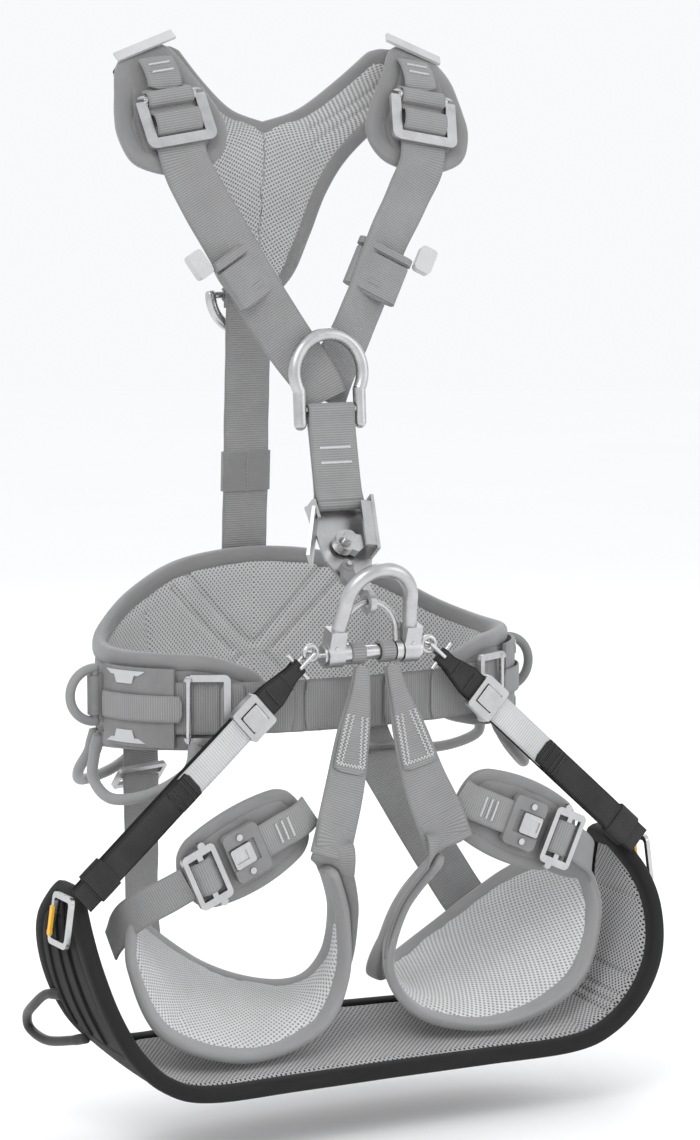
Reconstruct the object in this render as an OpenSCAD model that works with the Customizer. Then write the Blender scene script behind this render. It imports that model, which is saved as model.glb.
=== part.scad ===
// Full-body tree climbing saddle with a hanging work seat.
// Millimetres. X runs across the body, -Y is the wearer's front and +Z is up.
// The origin is the middle of the ventral bar, the bar of the ring that the saddle hangs from.
// "left" is the -X side and "right" the +X side, as seen from the front.

/* [Webbing] */
// Width of the main webbing
web_w = 45; // [42:1:46]
// Thickness of the main webbing
web_t = 2.4; // [2:0.1:2.6]
// Width of the seat webbing
seat_web_w = 25; // [22:1:26]
// Width of the leg webbing
leg_web_w = 30; // [28:1:32]
// Thickness of the seat webbing
seat_web_t = 1.8; // [1.5:0.1:2]

/* [Waist belt] */
// Half width of the wearer's waist inside the pad
waist_a = 183; // [178:1:184]
// Half depth of the wearer's waist inside the pad
waist_b = 100; // [98:1:101]
// Thickness of the waist pad
waist_pad_t = 12; // [9:1:12]

/* [Seat] */
// Half width of the seat's board at its widest
seat_a = 274; // [272:1:280]
// Depth of the seat's board below the ventral bar
seat_drop = 358; // [357:1:362]
// How much higher the seat's rear edge is than its front edge
seat_rise = 18; // [10:1:20]

/* [Rings] */
// Radius of the ventral bar
bar_r = 6; // [5.5:0.1:6.2]
// Radius of the ventral ring's round top, at the middle of the metal
ventral_r = 31; // [29:1:33]
// Radius of the chest ring, at the middle of the metal
chest_r = 33; // [31:1:34]
// Radius of the side rings, at the middle of the metal
side_r = 23; // [22:1:25]

/* [Hidden] */
$fn = 48;
fit = 0.06; // radial running clearance of each metal pin in its bore
gap = 0.6; // clearance between pieces that only touch

// ---------- curves and skins ----------

function unit(v) = v / norm(v);
function mix(a, b, t) = a * (1 - t) + b * t;
function clamp_index(i, n) = max(0, min(n - 1, i));

// Catmull-Rom point between p1 and p2
function cr(p0, p1, p2, p3, t) =
  0.5 * (2 * p1 + (p2 - p0) * t + (2 * p0 - 5 * p1 + 4 * p2 - p3) * t * t
         + (3 * p1 - p0 - 3 * p2 + p3) * t * t * t);

// A smooth curve through the points of p, with n steps to each span
function curve(p, n) = [
  for (i = [0:len(p) - 2]) for (k = [0:n - 1])
    cr(p[clamp_index(i - 1, len(p))], p[i], p[i + 1], p[clamp_index(i + 2, len(p))], k / n),
  p[len(p) - 1]
];

// The value at x of a smooth curve through [x, value] pairs
function along(table, x) =
  let (i = max([for (k = [0:len(table) - 2]) table[k][0] <= x ? k : 0]),
       n = len(table),
       t = (x - table[i][0]) / (table[i + 1][0] - table[i][0]))
  cr(table[clamp_index(i - 1, n)][1], table[i][1], table[i + 1][1], table[clamp_index(i + 2, n)][1],
     max(0, min(1, t)));

// The direction of a list of points at point i
function heading(p, i) = unit(p[min(i + 1, len(p) - 1)] - p[max(i - 1, 0)]);

// A closed solid between two grids of points. outer lies where cross(along i, along j) points.
module slab(outer, inner, closed = false) {
  rows = len(outer);
  cols = len(outer[0]);
  half = rows * cols;
  last = closed ? rows - 1 : rows - 2;
  function id(i, j) = (i % rows) * cols + j;
  function quad(a, b, c, d) = [[a, b, c], [a, c, d]];
  sides = [for (i = [0:last]) for (j = [0:cols - 2]) each concat(
    quad(id(i, j), id(i, j + 1), id(i + 1, j + 1), id(i + 1, j)),
    quad(half + id(i, j), half + id(i + 1, j), half + id(i + 1, j + 1), half + id(i, j + 1)))];
  edges = [for (i = [0:last]) each concat(
    quad(id(i, 0), id(i + 1, 0), half + id(i + 1, 0), half + id(i, 0)),
    quad(id(i + 1, cols - 1), id(i, cols - 1), half + id(i, cols - 1), half + id(i + 1, cols - 1)))];
  ends = closed ? [] : [for (j = [0:cols - 2]) each concat(
    quad(id(0, j + 1), id(0, j), half + id(0, j), half + id(0, j + 1)),
    quad(id(rows - 1, j), id(rows - 1, j + 1), half + id(rows - 1, j + 1), half + id(rows - 1, j)))];
  polyhedron(concat([for (r = outer) each r], [for (r = inner) each r]), concat(sides, edges, ends));
}

// A flat strap. p is its middle line and w the direction across it at each of its points.
module ribbon(p, w, width, thick) {
  normal = [for (i = [0:len(p) - 1]) unit(cross(heading(p, i), unit(w[i])))];
  across = [for (i = [0:len(p) - 1]) cross(normal[i], heading(p, i))];
  function row(i, s) = [for (e = [-1, 1]) p[i] + across[i] * e * width / 2 + normal[i] * s * thick / 2];
  slab([for (i = [0:len(p) - 1]) row(i, 1)], [for (i = [0:len(p) - 1]) row(i, -1)]);
}

// A strap through hand-set [point, across] pairs
module strap(stations, width, thick, steps = 5) {
  ribbon(curve([for (s = stations) s[0]], steps), curve([for (s = stations) s[1]], steps), width, thick);
}

// A round tube along the points of p. up is any direction that the tube never follows.
module tube(p, r, up, sides = 8) {
  n = len(p);
  function side(i) = unit(cross(heading(p, i), up));
  function lift(i) = cross(side(i), heading(p, i));
  rings = [for (i = [0:n - 1]) each
    [for (k = [0:sides - 1]) p[i] + r * (side(i) * cos(360 * k / sides) + lift(i) * sin(360 * k / sides))]];
  walls = [for (i = [0:n - 2]) for (k = [0:sides - 1]) each
    let (a = i * sides + k, b = i * sides + (k + 1) % sides) [[a, b, b + sides], [a, b + sides, a + sides]]];
  polyhedron(rings, concat(walls, [[for (k = [sides - 1:-1:0]) k],
                                   [for (k = [0:sides - 1]) (n - 1) * sides + k]]));
}

// The same piece on both sides of the body
module both() {
  children();
  mirror([1, 0, 0]) children();
}

module on_side(side) {
  if (side > 0) children();
  else mirror([1, 0, 0]) children();
}

// A cylinder along X from x0 to x1
module rod_x(r, x0, x1, y = 0, z = 0) {
  translate([x0, y, z]) rotate([0, 90, 0]) cylinder(r = r, h = x1 - x0);
}

// A flat plate w by h by t with rounded corners, centred, lying in the XZ plane
module plate(w, h, t, r) {
  rotate([90, 0, 0]) linear_extrude(t, center = true) rounded(w, h, r);
}

module rounded(w, h, r) {
  square([w - 2 * r, h], center = true);
  square([w, h - 2 * r], center = true);
  for (x = [-1, 1]) for (z = [-1, 1])
    translate([x * (w / 2 - r), z * (h / 2 - r)]) circle(r, $fn = 24);
}

// ---------- waist belt ----------

waist_y = 125; // middle of the waist behind the ventral bar
waist_power = 2 / 2.25; // squareness of the waist's outline
belt_z = -44; // middle of the belt webbing
belt_off = waist_pad_t + gap + web_t / 2;
waist_end = 156; // degrees from the back to each end of the pad

// A point of the waist's outline, off millimetres outside it. a is in degrees from the back, + towards +X.
function waist(a, off, z) = [
  (waist_a + off) * sign(sin(a)) * pow(abs(sin(a)), waist_power),
  waist_y + (waist_b + off) * sign(cos(a)) * pow(abs(cos(a)), waist_power),
  z
];

waist_top = [[0, 66], [20, 58], [40, 36], [60, 13], [80, 2], [100, 0], [120, 0], [138, -2], [150, -12], [156, -24]];
waist_bottom = [[0, -104], [30, -102], [60, -94], [90, -84], [120, -80], [138, -78], [156, -68]];

module waist_sheet(near, far, inset) {
  rows = 48;
  cols = 4;
  function angle(i) = -waist_end + 2 * waist_end * i / rows;
  function height(i, j) =
    mix(along(waist_bottom, abs(angle(i))) + inset, along(waist_top, abs(angle(i))) - inset, j / cols);
  function skin(off) = [for (i = [0:rows]) [for (j = [0:cols]) waist(angle(i), off, height(i, j))]];
  slab(skin(near), skin(far));
}

module waist_pad() {
  color("dimgray") waist_sheet(3, waist_pad_t, 0);
}

module waist_lining() {
  color("silver") waist_sheet(0, 3 - 0.2, 10);
}

module waist_belt() {
  steps = 72;
  function skin(off) = [for (i = [0:steps - 1])
    [for (z = [-1, 1]) waist(360 * i / steps, off, belt_z + z * web_w / 2)]];
  color("gray") slab(skin(belt_off - web_t / 2), skin(belt_off + web_t / 2), closed = true);
}

plate_from = 96; // degrees from the back
plate_to = 128;
plate_t = 3;

module waist_side_plates() {
  steps = 8;
  near = belt_off + web_t / 2 + gap;
  function skin(off) = [for (i = [0:steps])
    [for (z = [-34, -12, 12, 34]) waist(mix(plate_from, plate_to, i / steps), off, belt_z + z)]];
  color("darkgray") both() slab(skin(near), skin(near + plate_t));
}

// The belt's place and heading at an angle from the back, for what is fastened on its outside
module on_belt(a, off) {
  here = waist(a, off, belt_z);
  ahead = waist(a + 1, off, belt_z) - waist(a - 1, off, belt_z);
  translate(here) rotate([0, 0, atan2(ahead[1], ahead[0]) + 180]) children();
}

buckle_at = 139; // degrees from the back to the middle of each waist buckle
buckle_w = 40;
buckle_h = 60;
buckle_t = 4;
buckle_pin_r = 2.4;
buckle_off = belt_off + web_t / 2 + 4.2;

module waist_buckle_pins() {
  color("silver") both() on_belt(buckle_at, buckle_off)
    translate([buckle_w / 2 - 4, 0, 0]) cylinder(r = buckle_pin_r, h = buckle_h - 2, center = true);
}

// A frame that turns on a pin held by the belt. Its two lugs carry the pin's ends.
module waist_buckle(side) {
  color("silver") on_side(side) on_belt(buckle_at, buckle_off) difference() {
    union() {
      plate(buckle_w, buckle_h, buckle_t, 6);
      translate([buckle_w / 2 - 4, 0, 0]) cylinder(r = 4, h = buckle_h - 6, center = true);
    }
    translate([-1, 0, 0]) cube([buckle_w - 14, 20, web_w + 3], center = true);
    translate([buckle_w / 2 - 4, 0, 0]) cylinder(r = buckle_pin_r + fit, h = buckle_h + 2, center = true);
    translate([buckle_w / 2 - 4, 0, 0]) cube([20, 20, web_w + 3], center = true);
  }
}

module waist_buckle_left() { waist_buckle(-1); }
module waist_buckle_right() { waist_buckle(1); }

gear_loop_r = 5;
front_gear_loop = [[150, 36, -84], [160, 34, -98], [184, 52, -116], [203, 88, -124], [206, 120, -112], [200, 132, -92]];
rear_gear_loop = [[196, 150, -92], [200, 166, -112], [180, 204, -128], [140, 230, -126], [112, 240, -114], [98, 243, -106]];

module waist_gear_loops() {
  color("gray") both() {
    tube(curve(front_gear_loop, 4), gear_loop_r, [0.3, -0.2, 1]);
    tube(curve(rear_gear_loop, 4), gear_loop_r, [0.3, -0.2, 1]);
  }
}

// ---------- side rings ----------

side_bar_x = 205; // middle of the side ring's pin
side_bar_y = 118;
side_bar_z = -38;
side_bar_r = 3.6;
side_ring_wire = 4.2;

module side_ring_mounts() {
  color("dimgray") both() difference() {
    union() {
      translate([side_bar_x, side_bar_y, side_bar_z]) cylinder(r = 6.5, h = 34, center = true);
      translate([side_bar_x - 4.2, side_bar_y, side_bar_z]) cube([5, 13, 34], center = true);
    }
    translate([side_bar_x, side_bar_y, side_bar_z]) cylinder(r = side_bar_r + fit, h = 60, center = true);
  }
}

// A half ring closed by the straight bar that it swings on
module side_ring(side) {
  color("gray") on_side(side) translate([side_bar_x, side_bar_y, side_bar_z]) {
    rotate([90, 0, 0]) rotate([0, 0, -90]) rotate_extrude(angle = 180) translate([side_r, 0]) circle(side_ring_wire);
    cylinder(r = side_bar_r, h = 2 * side_r, center = true);
    for (z = [-1, 1]) translate([0, 0, z * side_r]) sphere(side_ring_wire);
  }
}

module side_ring_left() { side_ring(-1); }
module side_ring_right() { side_ring(1); }

// ---------- ventral ring ----------

ear_in = 29; // inner face of each ear of the ring
ear_out = 44;
ring_lean = 18; // the ring's lean away from the wearer
ring_wire = 6.4;
eye_x = 57; // middle of the end eyes that the seat hangs from
eye_z = 3;
eye_r = 6.2;
eye_wire = 2.2;
link_in = 22.2;
link_out = 28.4;
loop_in = 7.4; // riser loops on the bar
loop_out = 21.6;

module ventral_bar() {
  color("silver") {
    rod_x(bar_r, -ear_out, ear_out);
    for (s = [-1, 1]) {
      rod_x(8.5, min(s * (ear_out + 0.4), s * 47), max(s * (ear_out + 0.4), s * 47));
      rod_x(2.6, min(s * 43, s * 51), max(s * 43, s * 51));
      translate([s * eye_x, 0, eye_z]) rotate([90, 0, 0])
        rotate_extrude() translate([eye_r, 0]) circle(eye_wire, $fn = 24);
    }
  }
}

screw_r = 1.7;
screw_z = 9; // height of the locking screws above the bar's axis
ring_height = 46; // where the ring's legs meet its round top
leg_foot_x = 37;

module ventral_ring() {
  leg = [leg_foot_x - ventral_r, ring_height - 4];
  color("lightgray") rotate([ring_lean, 0, 0]) difference() {
    union() {
      for (s = [-1, 1]) {
        rod_x(11, min(s * ear_in, s * ear_out), max(s * ear_in, s * ear_out));
        translate([s * (ear_in + ear_out) / 2, 0, 12]) cube([ear_out - ear_in, 15, 24], center = true);
        translate([s * leg_foot_x, 0, 4]) rotate([0, -s * atan2(leg[0], leg[1]), 0])
          cylinder(r = ring_wire, h = norm(leg));
        translate([s * ventral_r, 0, ring_height]) sphere(ring_wire);
      }
      translate([0, 0, ring_height]) rotate([90, 0, 0])
        rotate_extrude(angle = 180) translate([ventral_r, 0]) circle(ring_wire);
    }
    rod_x(bar_r + fit, -ear_out - 5, ear_out + 5);
    for (s = [-1, 1]) translate([s * leg_foot_x, 0, screw_z]) rotate([90, 0, 0]) cylinder(r = screw_r + fit, h = 40, $fn = 24);
  }
}

// The two locking screws in the ring's ears
module ventral_ring_screws() {
  color("gray") rotate([ring_lean, 0, 0]) for (s = [-1, 1])
    translate([s * leg_foot_x, -0.4, screw_z]) rotate([90, 0, 0]) cylinder(r = screw_r, h = 7.6, $fn = 24);
}

link_wire = 2.8;
link_r = 25.2;
link_height = 18;
link_lean = -3;

// A small arch that ties the chest ascender to the ventral bar
module chest_link() {
  color("silver") rotate([link_lean, 0, 0]) difference() {
    union() {
      for (s = [-1, 1]) {
        rod_x(9.4, min(s * link_in, s * link_out), max(s * link_in, s * link_out));
        translate([s * link_r, 0, 5]) cylinder(r = link_wire, h = link_height - 5);
      }
      translate([0, 0, link_height]) rotate([90, 0, 0])
        rotate_extrude(angle = 180) translate([link_r, 0]) circle(link_wire);
    }
    rod_x(bar_r + fit, -40, 40);
  }
}

// ---------- leg loops ----------

riser = [
  [[14.5, -11, -10], [1, 0, 0]], [[18, -15, -32], [1, 0.1, 0.1]], [[27, -20, -66], [1, 0, 0.22]],
  [[38, -26, -108], [1, -0.1, 0.3]], [[50, -33, -142], [1, -0.2, 0.35]], [[58, -36, -166], [1, -0.2, 0.4]]
];

// A webbing loop round the ventral bar, and the riser that runs down from it to the leg loop
module leg_risers() {
  color("gray") both() {
    difference() {
      rod_x(bar_r + 3.4, loop_in, loop_out);
      rod_x(bar_r + fit, loop_in - 1, loop_out + 1);
    }
    riser_web();
  }
}

module riser_web() {
  widths = [15, 20, 32, 40, 44, 44]; // the folded web opens out below its loop
  n = 4;
  p = curve([for (s = riser) s[0]], n);
  w = curve([for (s = riser) s[1]], n);
  breadth = curve(widths, n);
  normal = [for (i = [0:len(p) - 1]) unit(cross(heading(p, i), unit(w[i])))];
  function row(i, s) = [for (e = [-1, 1])
    p[i] + cross(normal[i], heading(p, i)) * e * breadth[i] / 2 + normal[i] * s * web_t / 2];
  slab([for (i = [0:len(p) - 1]) row(i, 1)], [for (i = [0:len(p) - 1]) row(i, -1)]);
}

// Front and rear edge of the right leg pad, from the outer end under the thigh to the inner end
leg_front_edge = [[226, 4, -212], [230, -6, -252], [203, -14, -310], [128, -14, -339], [52, -4, -327],
                  [17, 6, -284], [20, -8, -224], [42, -30, -178]];
leg_rear_edge = [[204, 50, -204], [180, 94, -234], [112, 114, -284], [62, 98, -303], [34, 66, -296],
                 [22, 34, -262], [26, 10, -216], [48, -16, -174]];
leg_pad_t = 9;
leg_bow = 10; // how far the middle of the pad stands up towards the thigh

module leg_sheet(near, far, inset) {
  steps = 5;
  cols = 4;
  front = curve(leg_front_edge, steps);
  rear = curve(leg_rear_edge, steps);
  function out(i) = unit(cross(rear[i] - front[i], heading(front, i)));
  function middle(i, j) = let (t = mix(inset, 1 - inset, j / cols))
    mix(front[i], rear[i], t) + out(i) * leg_bow * 4 * t * (1 - t);
  function skin(off) = [for (i = [0:len(front) - 1]) [for (j = [0:cols]) middle(i, j) + out(i) * off]];
  slab(skin(near), skin(far));
}

module leg_pads() {
  color("gray") both() leg_sheet(-leg_pad_t / 2, leg_pad_t / 2 - 2.8, 0);
}

module leg_linings() {
  color("silver") both() leg_sheet(leg_pad_t / 2 - 2.6, leg_pad_t / 2, 0.1);
}

// Local frame of the buckles on the front of the thigh: X runs outward along the strap, -Y faces forward
buckle_mid = [152, -31, -163];
buckle_tilt = 24;
module on_thigh(x = 0, y = 0) {
  translate(buckle_mid) rotate([0, buckle_tilt, 0]) translate([x, y, 0]) children();
}

module leg_front_pads() {
  color("gray") both() on_thigh(-22, 8) plate(120, 70, 7, 30);
}

leg_web = [
  [[187, -29, -178], [0.35, 0, 1]], [[202, -22, -187], [0.35, 0.1, 1]], [[218, -10, -198], [0.3, 0.2, 1]],
  [[230, 6, -210], [0.2, 0.25, 1]], [[237, 26, -222], [0.1, 0.2, 1]]
];

module leg_webbing() {
  color("gray") both() {
    strap(leg_web, leg_web_w, web_t, 4);
    on_thigh(-60, -1) cube([44, web_t, leg_web_w], center = true);
  }
}

module leg_buckle_bodies() {
  color("dimgray") both() on_thigh(-19, -1) difference() {
    plate(34, 44, 6, 5);
    translate([4, -4, 0]) cube([28, 5, 20], center = true);
    for (z = [-1, 1]) translate([2, 0, z * 16]) rotate([90, 0, 0]) cylinder(r = 1.6, h = 20, center = true, $fn = 24);
  }
}

module leg_buckle_rivets() {
  color("silver") both() on_thigh(-17, -1) for (z = [-1, 1]) translate([0, -0.4, z * 16]) {
    rotate([90, 0, 0]) cylinder(r = 1.5, h = 6.4, center = true, $fn = 24);
    translate([0, -3, 0]) rotate([90, 0, 0]) cylinder(r = 2.8, h = 1.4, $fn = 24);
  }
}

// The spring key that holds the tongue; it slides back along the strap
module leg_latch(side) {
  color("gray") on_side(side) on_thigh(-14, -4.6) difference() {
    plate(20, 18, 3, 2);
    translate([2, -1.4, 0]) cube([12, 2, 9], center = true);
  }
}

module leg_latch_left() { leg_latch(-1); }
module leg_latch_right() { leg_latch(1); }

// A two-window ladder frame that carries the thigh strap
module leg_tongue(side) {
  color("silver") on_side(side) on_thigh(22, -3) {
    difference() {
      plate(32, 51, 5, 5);
      for (x = [-7, 7]) translate([x, 0, 0]) cube([9, 20, 38], center = true);
    }
    for (z = [-1, 1]) translate([-5, 0, z * 26.5]) rotate([90, 0, 0]) cylinder(r = 3.4, h = 5, center = true);
  }
}

module leg_tongue_left() { leg_tongue(-1); }
module leg_tongue_right() { leg_tongue(1); }

rear_strap = [
  [[112, 227, -50], [1, -0.35, 0]], [[112.5, 227.8, -84], [1, -0.35, 0]], [[117, 217, -120], [1, -0.38, 0.05]],
  [[131, 186, -165], [0.95, -0.35, 0.25]], [[149, 147, -218], [0.82, -0.2, 0.5]],
  [[162.5, 110, -258], [0.66, 0.08, 0.74]], [[171, 83.4, -260.5], [0.64, 0.12, 0.76]],
  [[182, 58.6, -263.5], [0.64, 0.12, 0.76]]
];

module rear_leg_straps() {
  color("gray") both() strap(rear_strap, web_w - 3, web_t, 4);
}

module rear_leg_buckles() {
  color("silver") both() translate([121, 212, -130]) rotate([37, 0, -18]) difference() {
    plate(56, 24, 4, 5);
    for (z = [-4.6, 4.6]) translate([0, 0, z]) cube([47, 20, 6], center = true);
  }
}

// ---------- back and shoulders ----------

back_line = [
  [[0, 222.5, 344], [1, 0, 0]], [[0, 231.5, 290], [1, 0, 0]], [[0, 236, 210], [1, 0, 0]], [[0, 239.5, 130], [1, 0, 0]],
  [[0, 243, 60], [1, 0, 0]], [[0, 243, -14], [1, 0, 0]]
];

module back_strap() {
  color("gray") strap(back_line, web_w, web_t, 4);
}

module back_strap_sleeve() {
  color("gray") translate([0, 239.4, 136]) rotate([3, 0, 0]) difference() {
    cube([web_w + 4, 8, 40], center = true);
    cube([web_w + 0.8, 5.2, 60], center = true);
  }
}

yoke_inner = [[0, 225, 290], [0, 220, 320], [0, 213, 366], [0, 206, 414], [0, 203, 449], [34, 199, 460],
              [66, 190, 484], [98, 178, 514]];
yoke_outer = [[12, 225, 288], [36, 220, 314], [50, 213, 350], [62, 204, 388], [80, 195, 420], [112, 183, 452],
              [148, 172, 476], [160, 168, 494]];
yoke_t = 9;

module back_yoke() {
  steps = 3;
  cols = 4;
  inner = curve(yoke_inner, steps);
  outer = curve(yoke_outer, steps);
  function skin(off) = [for (i = [0:len(inner) - 1])
    [for (j = [0:cols]) mix(inner[i], outer[i], j / cols) + [0, off, 0]]];
  color("gray") both() slab(skin(yoke_t / 2), skin(-yoke_t / 2));
}

back_ring_z = 296;
back_ring_y = 242;
back_ring_r = 33;

module back_ring_mount() {
  color("dimgray") translate([0, back_ring_y, back_ring_z]) difference() {
    union() {
      rod_x(6.2, -20, 20);
      translate([0, -4, -6]) cube([40, 8, 12], center = true);
    }
    rod_x(3.6 + fit, -30, 30);
  }
}

module back_ring() {
  color("silver") translate([0, back_ring_y, back_ring_z]) {
    rod_x(3.6, -back_ring_r, back_ring_r);
    rotate([90, 0, 0]) rotate([0, 0, 180])
      rotate_extrude(angle = 180) translate([back_ring_r, 0]) circle(5);
    for (s = [-1, 1]) translate([s * back_ring_r, 0, 0]) sphere(5);
  }
}

// Inner and outer edge of the right shoulder pad, from the top of the shoulder down the chest
pad_inner = [[104, 176, 519], [99, 160, 496], [80, 147, 466], [70, 139, 442], [80, 132, 422], [106, 128, 410]];
pad_outer = [[161, 172, 497], [164, 157, 478], [169, 147, 455], [170, 139, 438], [162, 132, 419], [144, 128, 410]];
shoulder_pad_t = 7;

module shoulder_pads() {
  steps = 3;
  cols = 4;
  inner = curve(pad_inner, steps);
  outer = curve(pad_outer, steps);
  function out(i) = unit(cross(heading(inner, i), outer[i] - inner[i]));
  function skin(off) = [for (i = [0:len(inner) - 1])
    [for (j = [0:cols]) mix(inner[i], outer[i], j / cols) + out(i) * off]];
  color("gray") both() slab(skin(shoulder_pad_t), skin(0));
}

// The stiff plates over the tops of the shoulders
module shoulder_plates() {
  color("white") both() translate([132, 165, 515]) rotate([-40, 21, 0]) cube([58, 3, 9], center = true);
}

shoulder_buckle_at = [121, 126, 453];
shoulder_frame = [-22, 9, -12]; // turns the buckle from the XZ plane onto the shoulder pad
sb_w = 66;
sb_h = 48;

module on_shoulder() {
  translate(shoulder_buckle_at) rotate([0, shoulder_frame[1], 0]) rotate([shoulder_frame[0], 0, 0]) children();
}

module shoulder_buckle_pins() {
  color("silver") both() on_shoulder() rod_x(buckle_pin_r, -sb_w / 2 + 8, sb_w / 2 - 8, 0, sb_h / 2 - 4);
}

// A frame that hinges on its upper bar and traps the chest strap on its lower one
module shoulder_buckle(side) {
  color("silver") on_side(side) on_shoulder() difference() {
    union() {
      plate(sb_w, sb_h, buckle_t, 8);
      rod_x(4, -sb_w / 2 + 9, sb_w / 2 - 9, 0, sb_h / 2 - 4);
    }
    translate([0, 0, 0]) cube([web_w + 1, 20, sb_h - 18], center = true);
    rod_x(buckle_pin_r + fit, -sb_w, sb_w, 0, sb_h / 2 - 4);
    translate([0, 0, sb_h / 2 - 4]) cube([sb_w - 24, 20, 12], center = true);
  }
}

module shoulder_buckle_left() { shoulder_buckle(-1); }
module shoulder_buckle_right() { shoulder_buckle(1); }

chest_bar = [0, 74, 203];
// The right chest strap, from under the shoulder buckle to the chest ring
chest_side = [
  [[120, 126.6, 447], [1, 0, -0.15]], [[116, 118.5, 416], [1, 0, -0.25]], [[101, 117, 386], [1, 0.1, -0.4]],
  [[77, 112, 345], [1, 0.2, -0.5]], [[52, 102, 298], [1, 0.25, -0.5]], [[28, 93, 258], [1, 0.2, -0.6]],
  [[9, 86, 230], [1, 0, -0.4]], [[0, 82, 210], [1, 0, -0.2]]
];

// The stations of a chest strap that ends up back millimetres behind the other one
function chest_line(back) = [for (i = [0:len(chest_side) - 1])
  [chest_side[i][0] + [0, back * max(0, i - 2) / (len(chest_side) - 3), 0], chest_side[i][1]]];

// The two cross behind the chest ring, the right one at the back
module shoulder_straps() {
  color("gray") {
    strap(chest_line(2 * web_t + gap), web_w, web_t, 4);
    mirror([1, 0, 0]) strap(chest_line(0), web_w, web_t, 4);
  }
}

keeper_at = [64, 106, 320];

module on_keeper() {
  translate(keeper_at) rotate([0, 28, 0]) rotate([-13, 0, -14]) children();
}

module strap_keepers() {
  color("gray") both() on_keeper() difference() {
    plate(web_w + 8, 50, 12, 5);
    translate([0, 1.2, 0]) cube([web_w + 1.6, 7.6, 70], center = true);
  }
}

module keeper_tabs() {
  color("darkgray") both() on_keeper() translate([web_w / 2 + 14, 0, 30]) plate(16, 24, 8, 4);
}

// ---------- chest ring and ascender ----------

chest_wire = 5.6;
chest_bar_r = 3;

// The ring and the bar that it turns on
module chest_ring() {
  color("lightgray") translate(chest_bar) rotate([-4, 0, 0]) {
    translate([0, 0, 32]) rotate([90, 0, 0]) rotate([0, 0, -28])
      rotate_extrude(angle = 236) translate([chest_r, 0]) circle(chest_wire);
    for (s = [-1, 1]) {
      translate([s * 29.2, 0, -12]) cylinder(r = chest_wire, h = 30);
      translate([s * 29.2, 0, -12]) sphere(chest_wire);
    }
    rod_x(chest_bar_r, -28, 28);
  }
}

ascender_top = [0, 57, 122];
ascender_lean = -35.5;
foot_z = -96; // middle of the ascender's lower eye
chest_drop = norm(chest_bar - ascender_top);
chest_lean = atan2(chest_bar[1] - ascender_top[1], chest_bar[2] - ascender_top[2]);

// Webbing that loops round the chest ring's bar above and the ascender's bar below
module chest_strap() {
  r = chest_bar_r + fit + 0.2;
  color("gray") translate(ascender_top) rotate([-chest_lean, 0, 0]) difference() {
    union() {
      for (z = [0, chest_drop]) rod_x(r + web_t, -web_w / 2, web_w / 2, 0, z);
      translate([0, 0, chest_drop / 2]) cube([web_w, 2 * web_t, chest_drop], center = true);
    }
    for (z = [0, chest_drop]) rod_x(r, -web_w, web_w, 0, z);
  }
}

module on_ascender() {
  translate(ascender_top) rotate([ascender_lean, 0, 0]) children();
}

frame_depth = 10; // middle of the back plate behind the frame's top bar

// Folded aluminium: a tapered back plate, a jaw on one side, a flared wing on the other and an eye at the foot
module ascender_frame() {
  color("lightgray") on_ascender() difference() {
    union() {
      translate([0, frame_depth, 0]) rotate([90, 0, 0]) linear_extrude(3, center = true)
        polygon([[-28, 4], [30, 4], [20, -52], [8, -84], [-8, -84], [-24, -50]]);
      translate([24, frame_depth / 2 - 4.6, -24]) rotate([0, 10, 0]) {
        cube([3, frame_depth + 11, 54], center = true);
        translate([-5, -8.6, -2]) cube([12.4, 2.8, 44], center = true);
      }
      translate([-26.2, frame_depth / 2 - 2.6, -6]) cube([3, frame_depth + 7, 18], center = true);
      translate([-34, 1.4, -29]) rotate([0, 22, -30]) cube([3, 24, 46], center = true);
      rod_x(3, -26.8, 27.2);
      translate([0, 5.6, -84]) cube([4.2, 9, 18], center = true);
      translate([-2.7, 2, foot_z]) rotate([0, 90, 0]) cylinder(r = 10.5, h = 5.4);
    }
    translate([-5, 2, foot_z]) rotate([0, 90, 0]) cylinder(r = 5.4, h = 10);
  }
}

cam_at = [-6, -38];
catch_at = [-12, -62];

module ascender_axles() {
  color("silver") on_ascender() {
    translate([cam_at[0], 8.4, cam_at[1]]) rotate([90, 0, 0]) cylinder(r = 3.5, h = 19);
    translate([cam_at[0], -10.6, cam_at[1]]) rotate([90, 0, 0]) cylinder(r = 5.5, h = 1.6);
    translate([catch_at[0], 8.4, catch_at[1]]) rotate([90, 0, 0]) cylinder(r = 2, h = 16, $fn = 32);
  }
}

module ascender_cam() {
  color("dimgray") on_ascender() translate([cam_at[0], 0, cam_at[1]]) rotate([90, 0, 0]) difference() {
    union() {
      cylinder(r = 10, h = 10, center = true);
      linear_extrude(9, center = true) polygon([[0, 8], [15, 4], [14, -8], [8, -12], [0, -8]]);
    }
    cylinder(r = 3.5 + fit, h = 20, center = true);
  }
}

module ascender_catch() {
  color("darkslategray") on_ascender() translate([catch_at[0], 0, catch_at[1]]) rotate([90, 0, 0]) difference() {
    union() {
      cylinder(r = 5.5, h = 9, center = true);
      linear_extrude(8, center = true) polygon([[-4, 0], [-8, -12], [-3, -20], [5, -17], [4, 0]]);
    }
    cylinder(r = 2 + fit, h = 20, center = true, $fn = 32);
  }
}

// ---------- seat ----------

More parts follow.
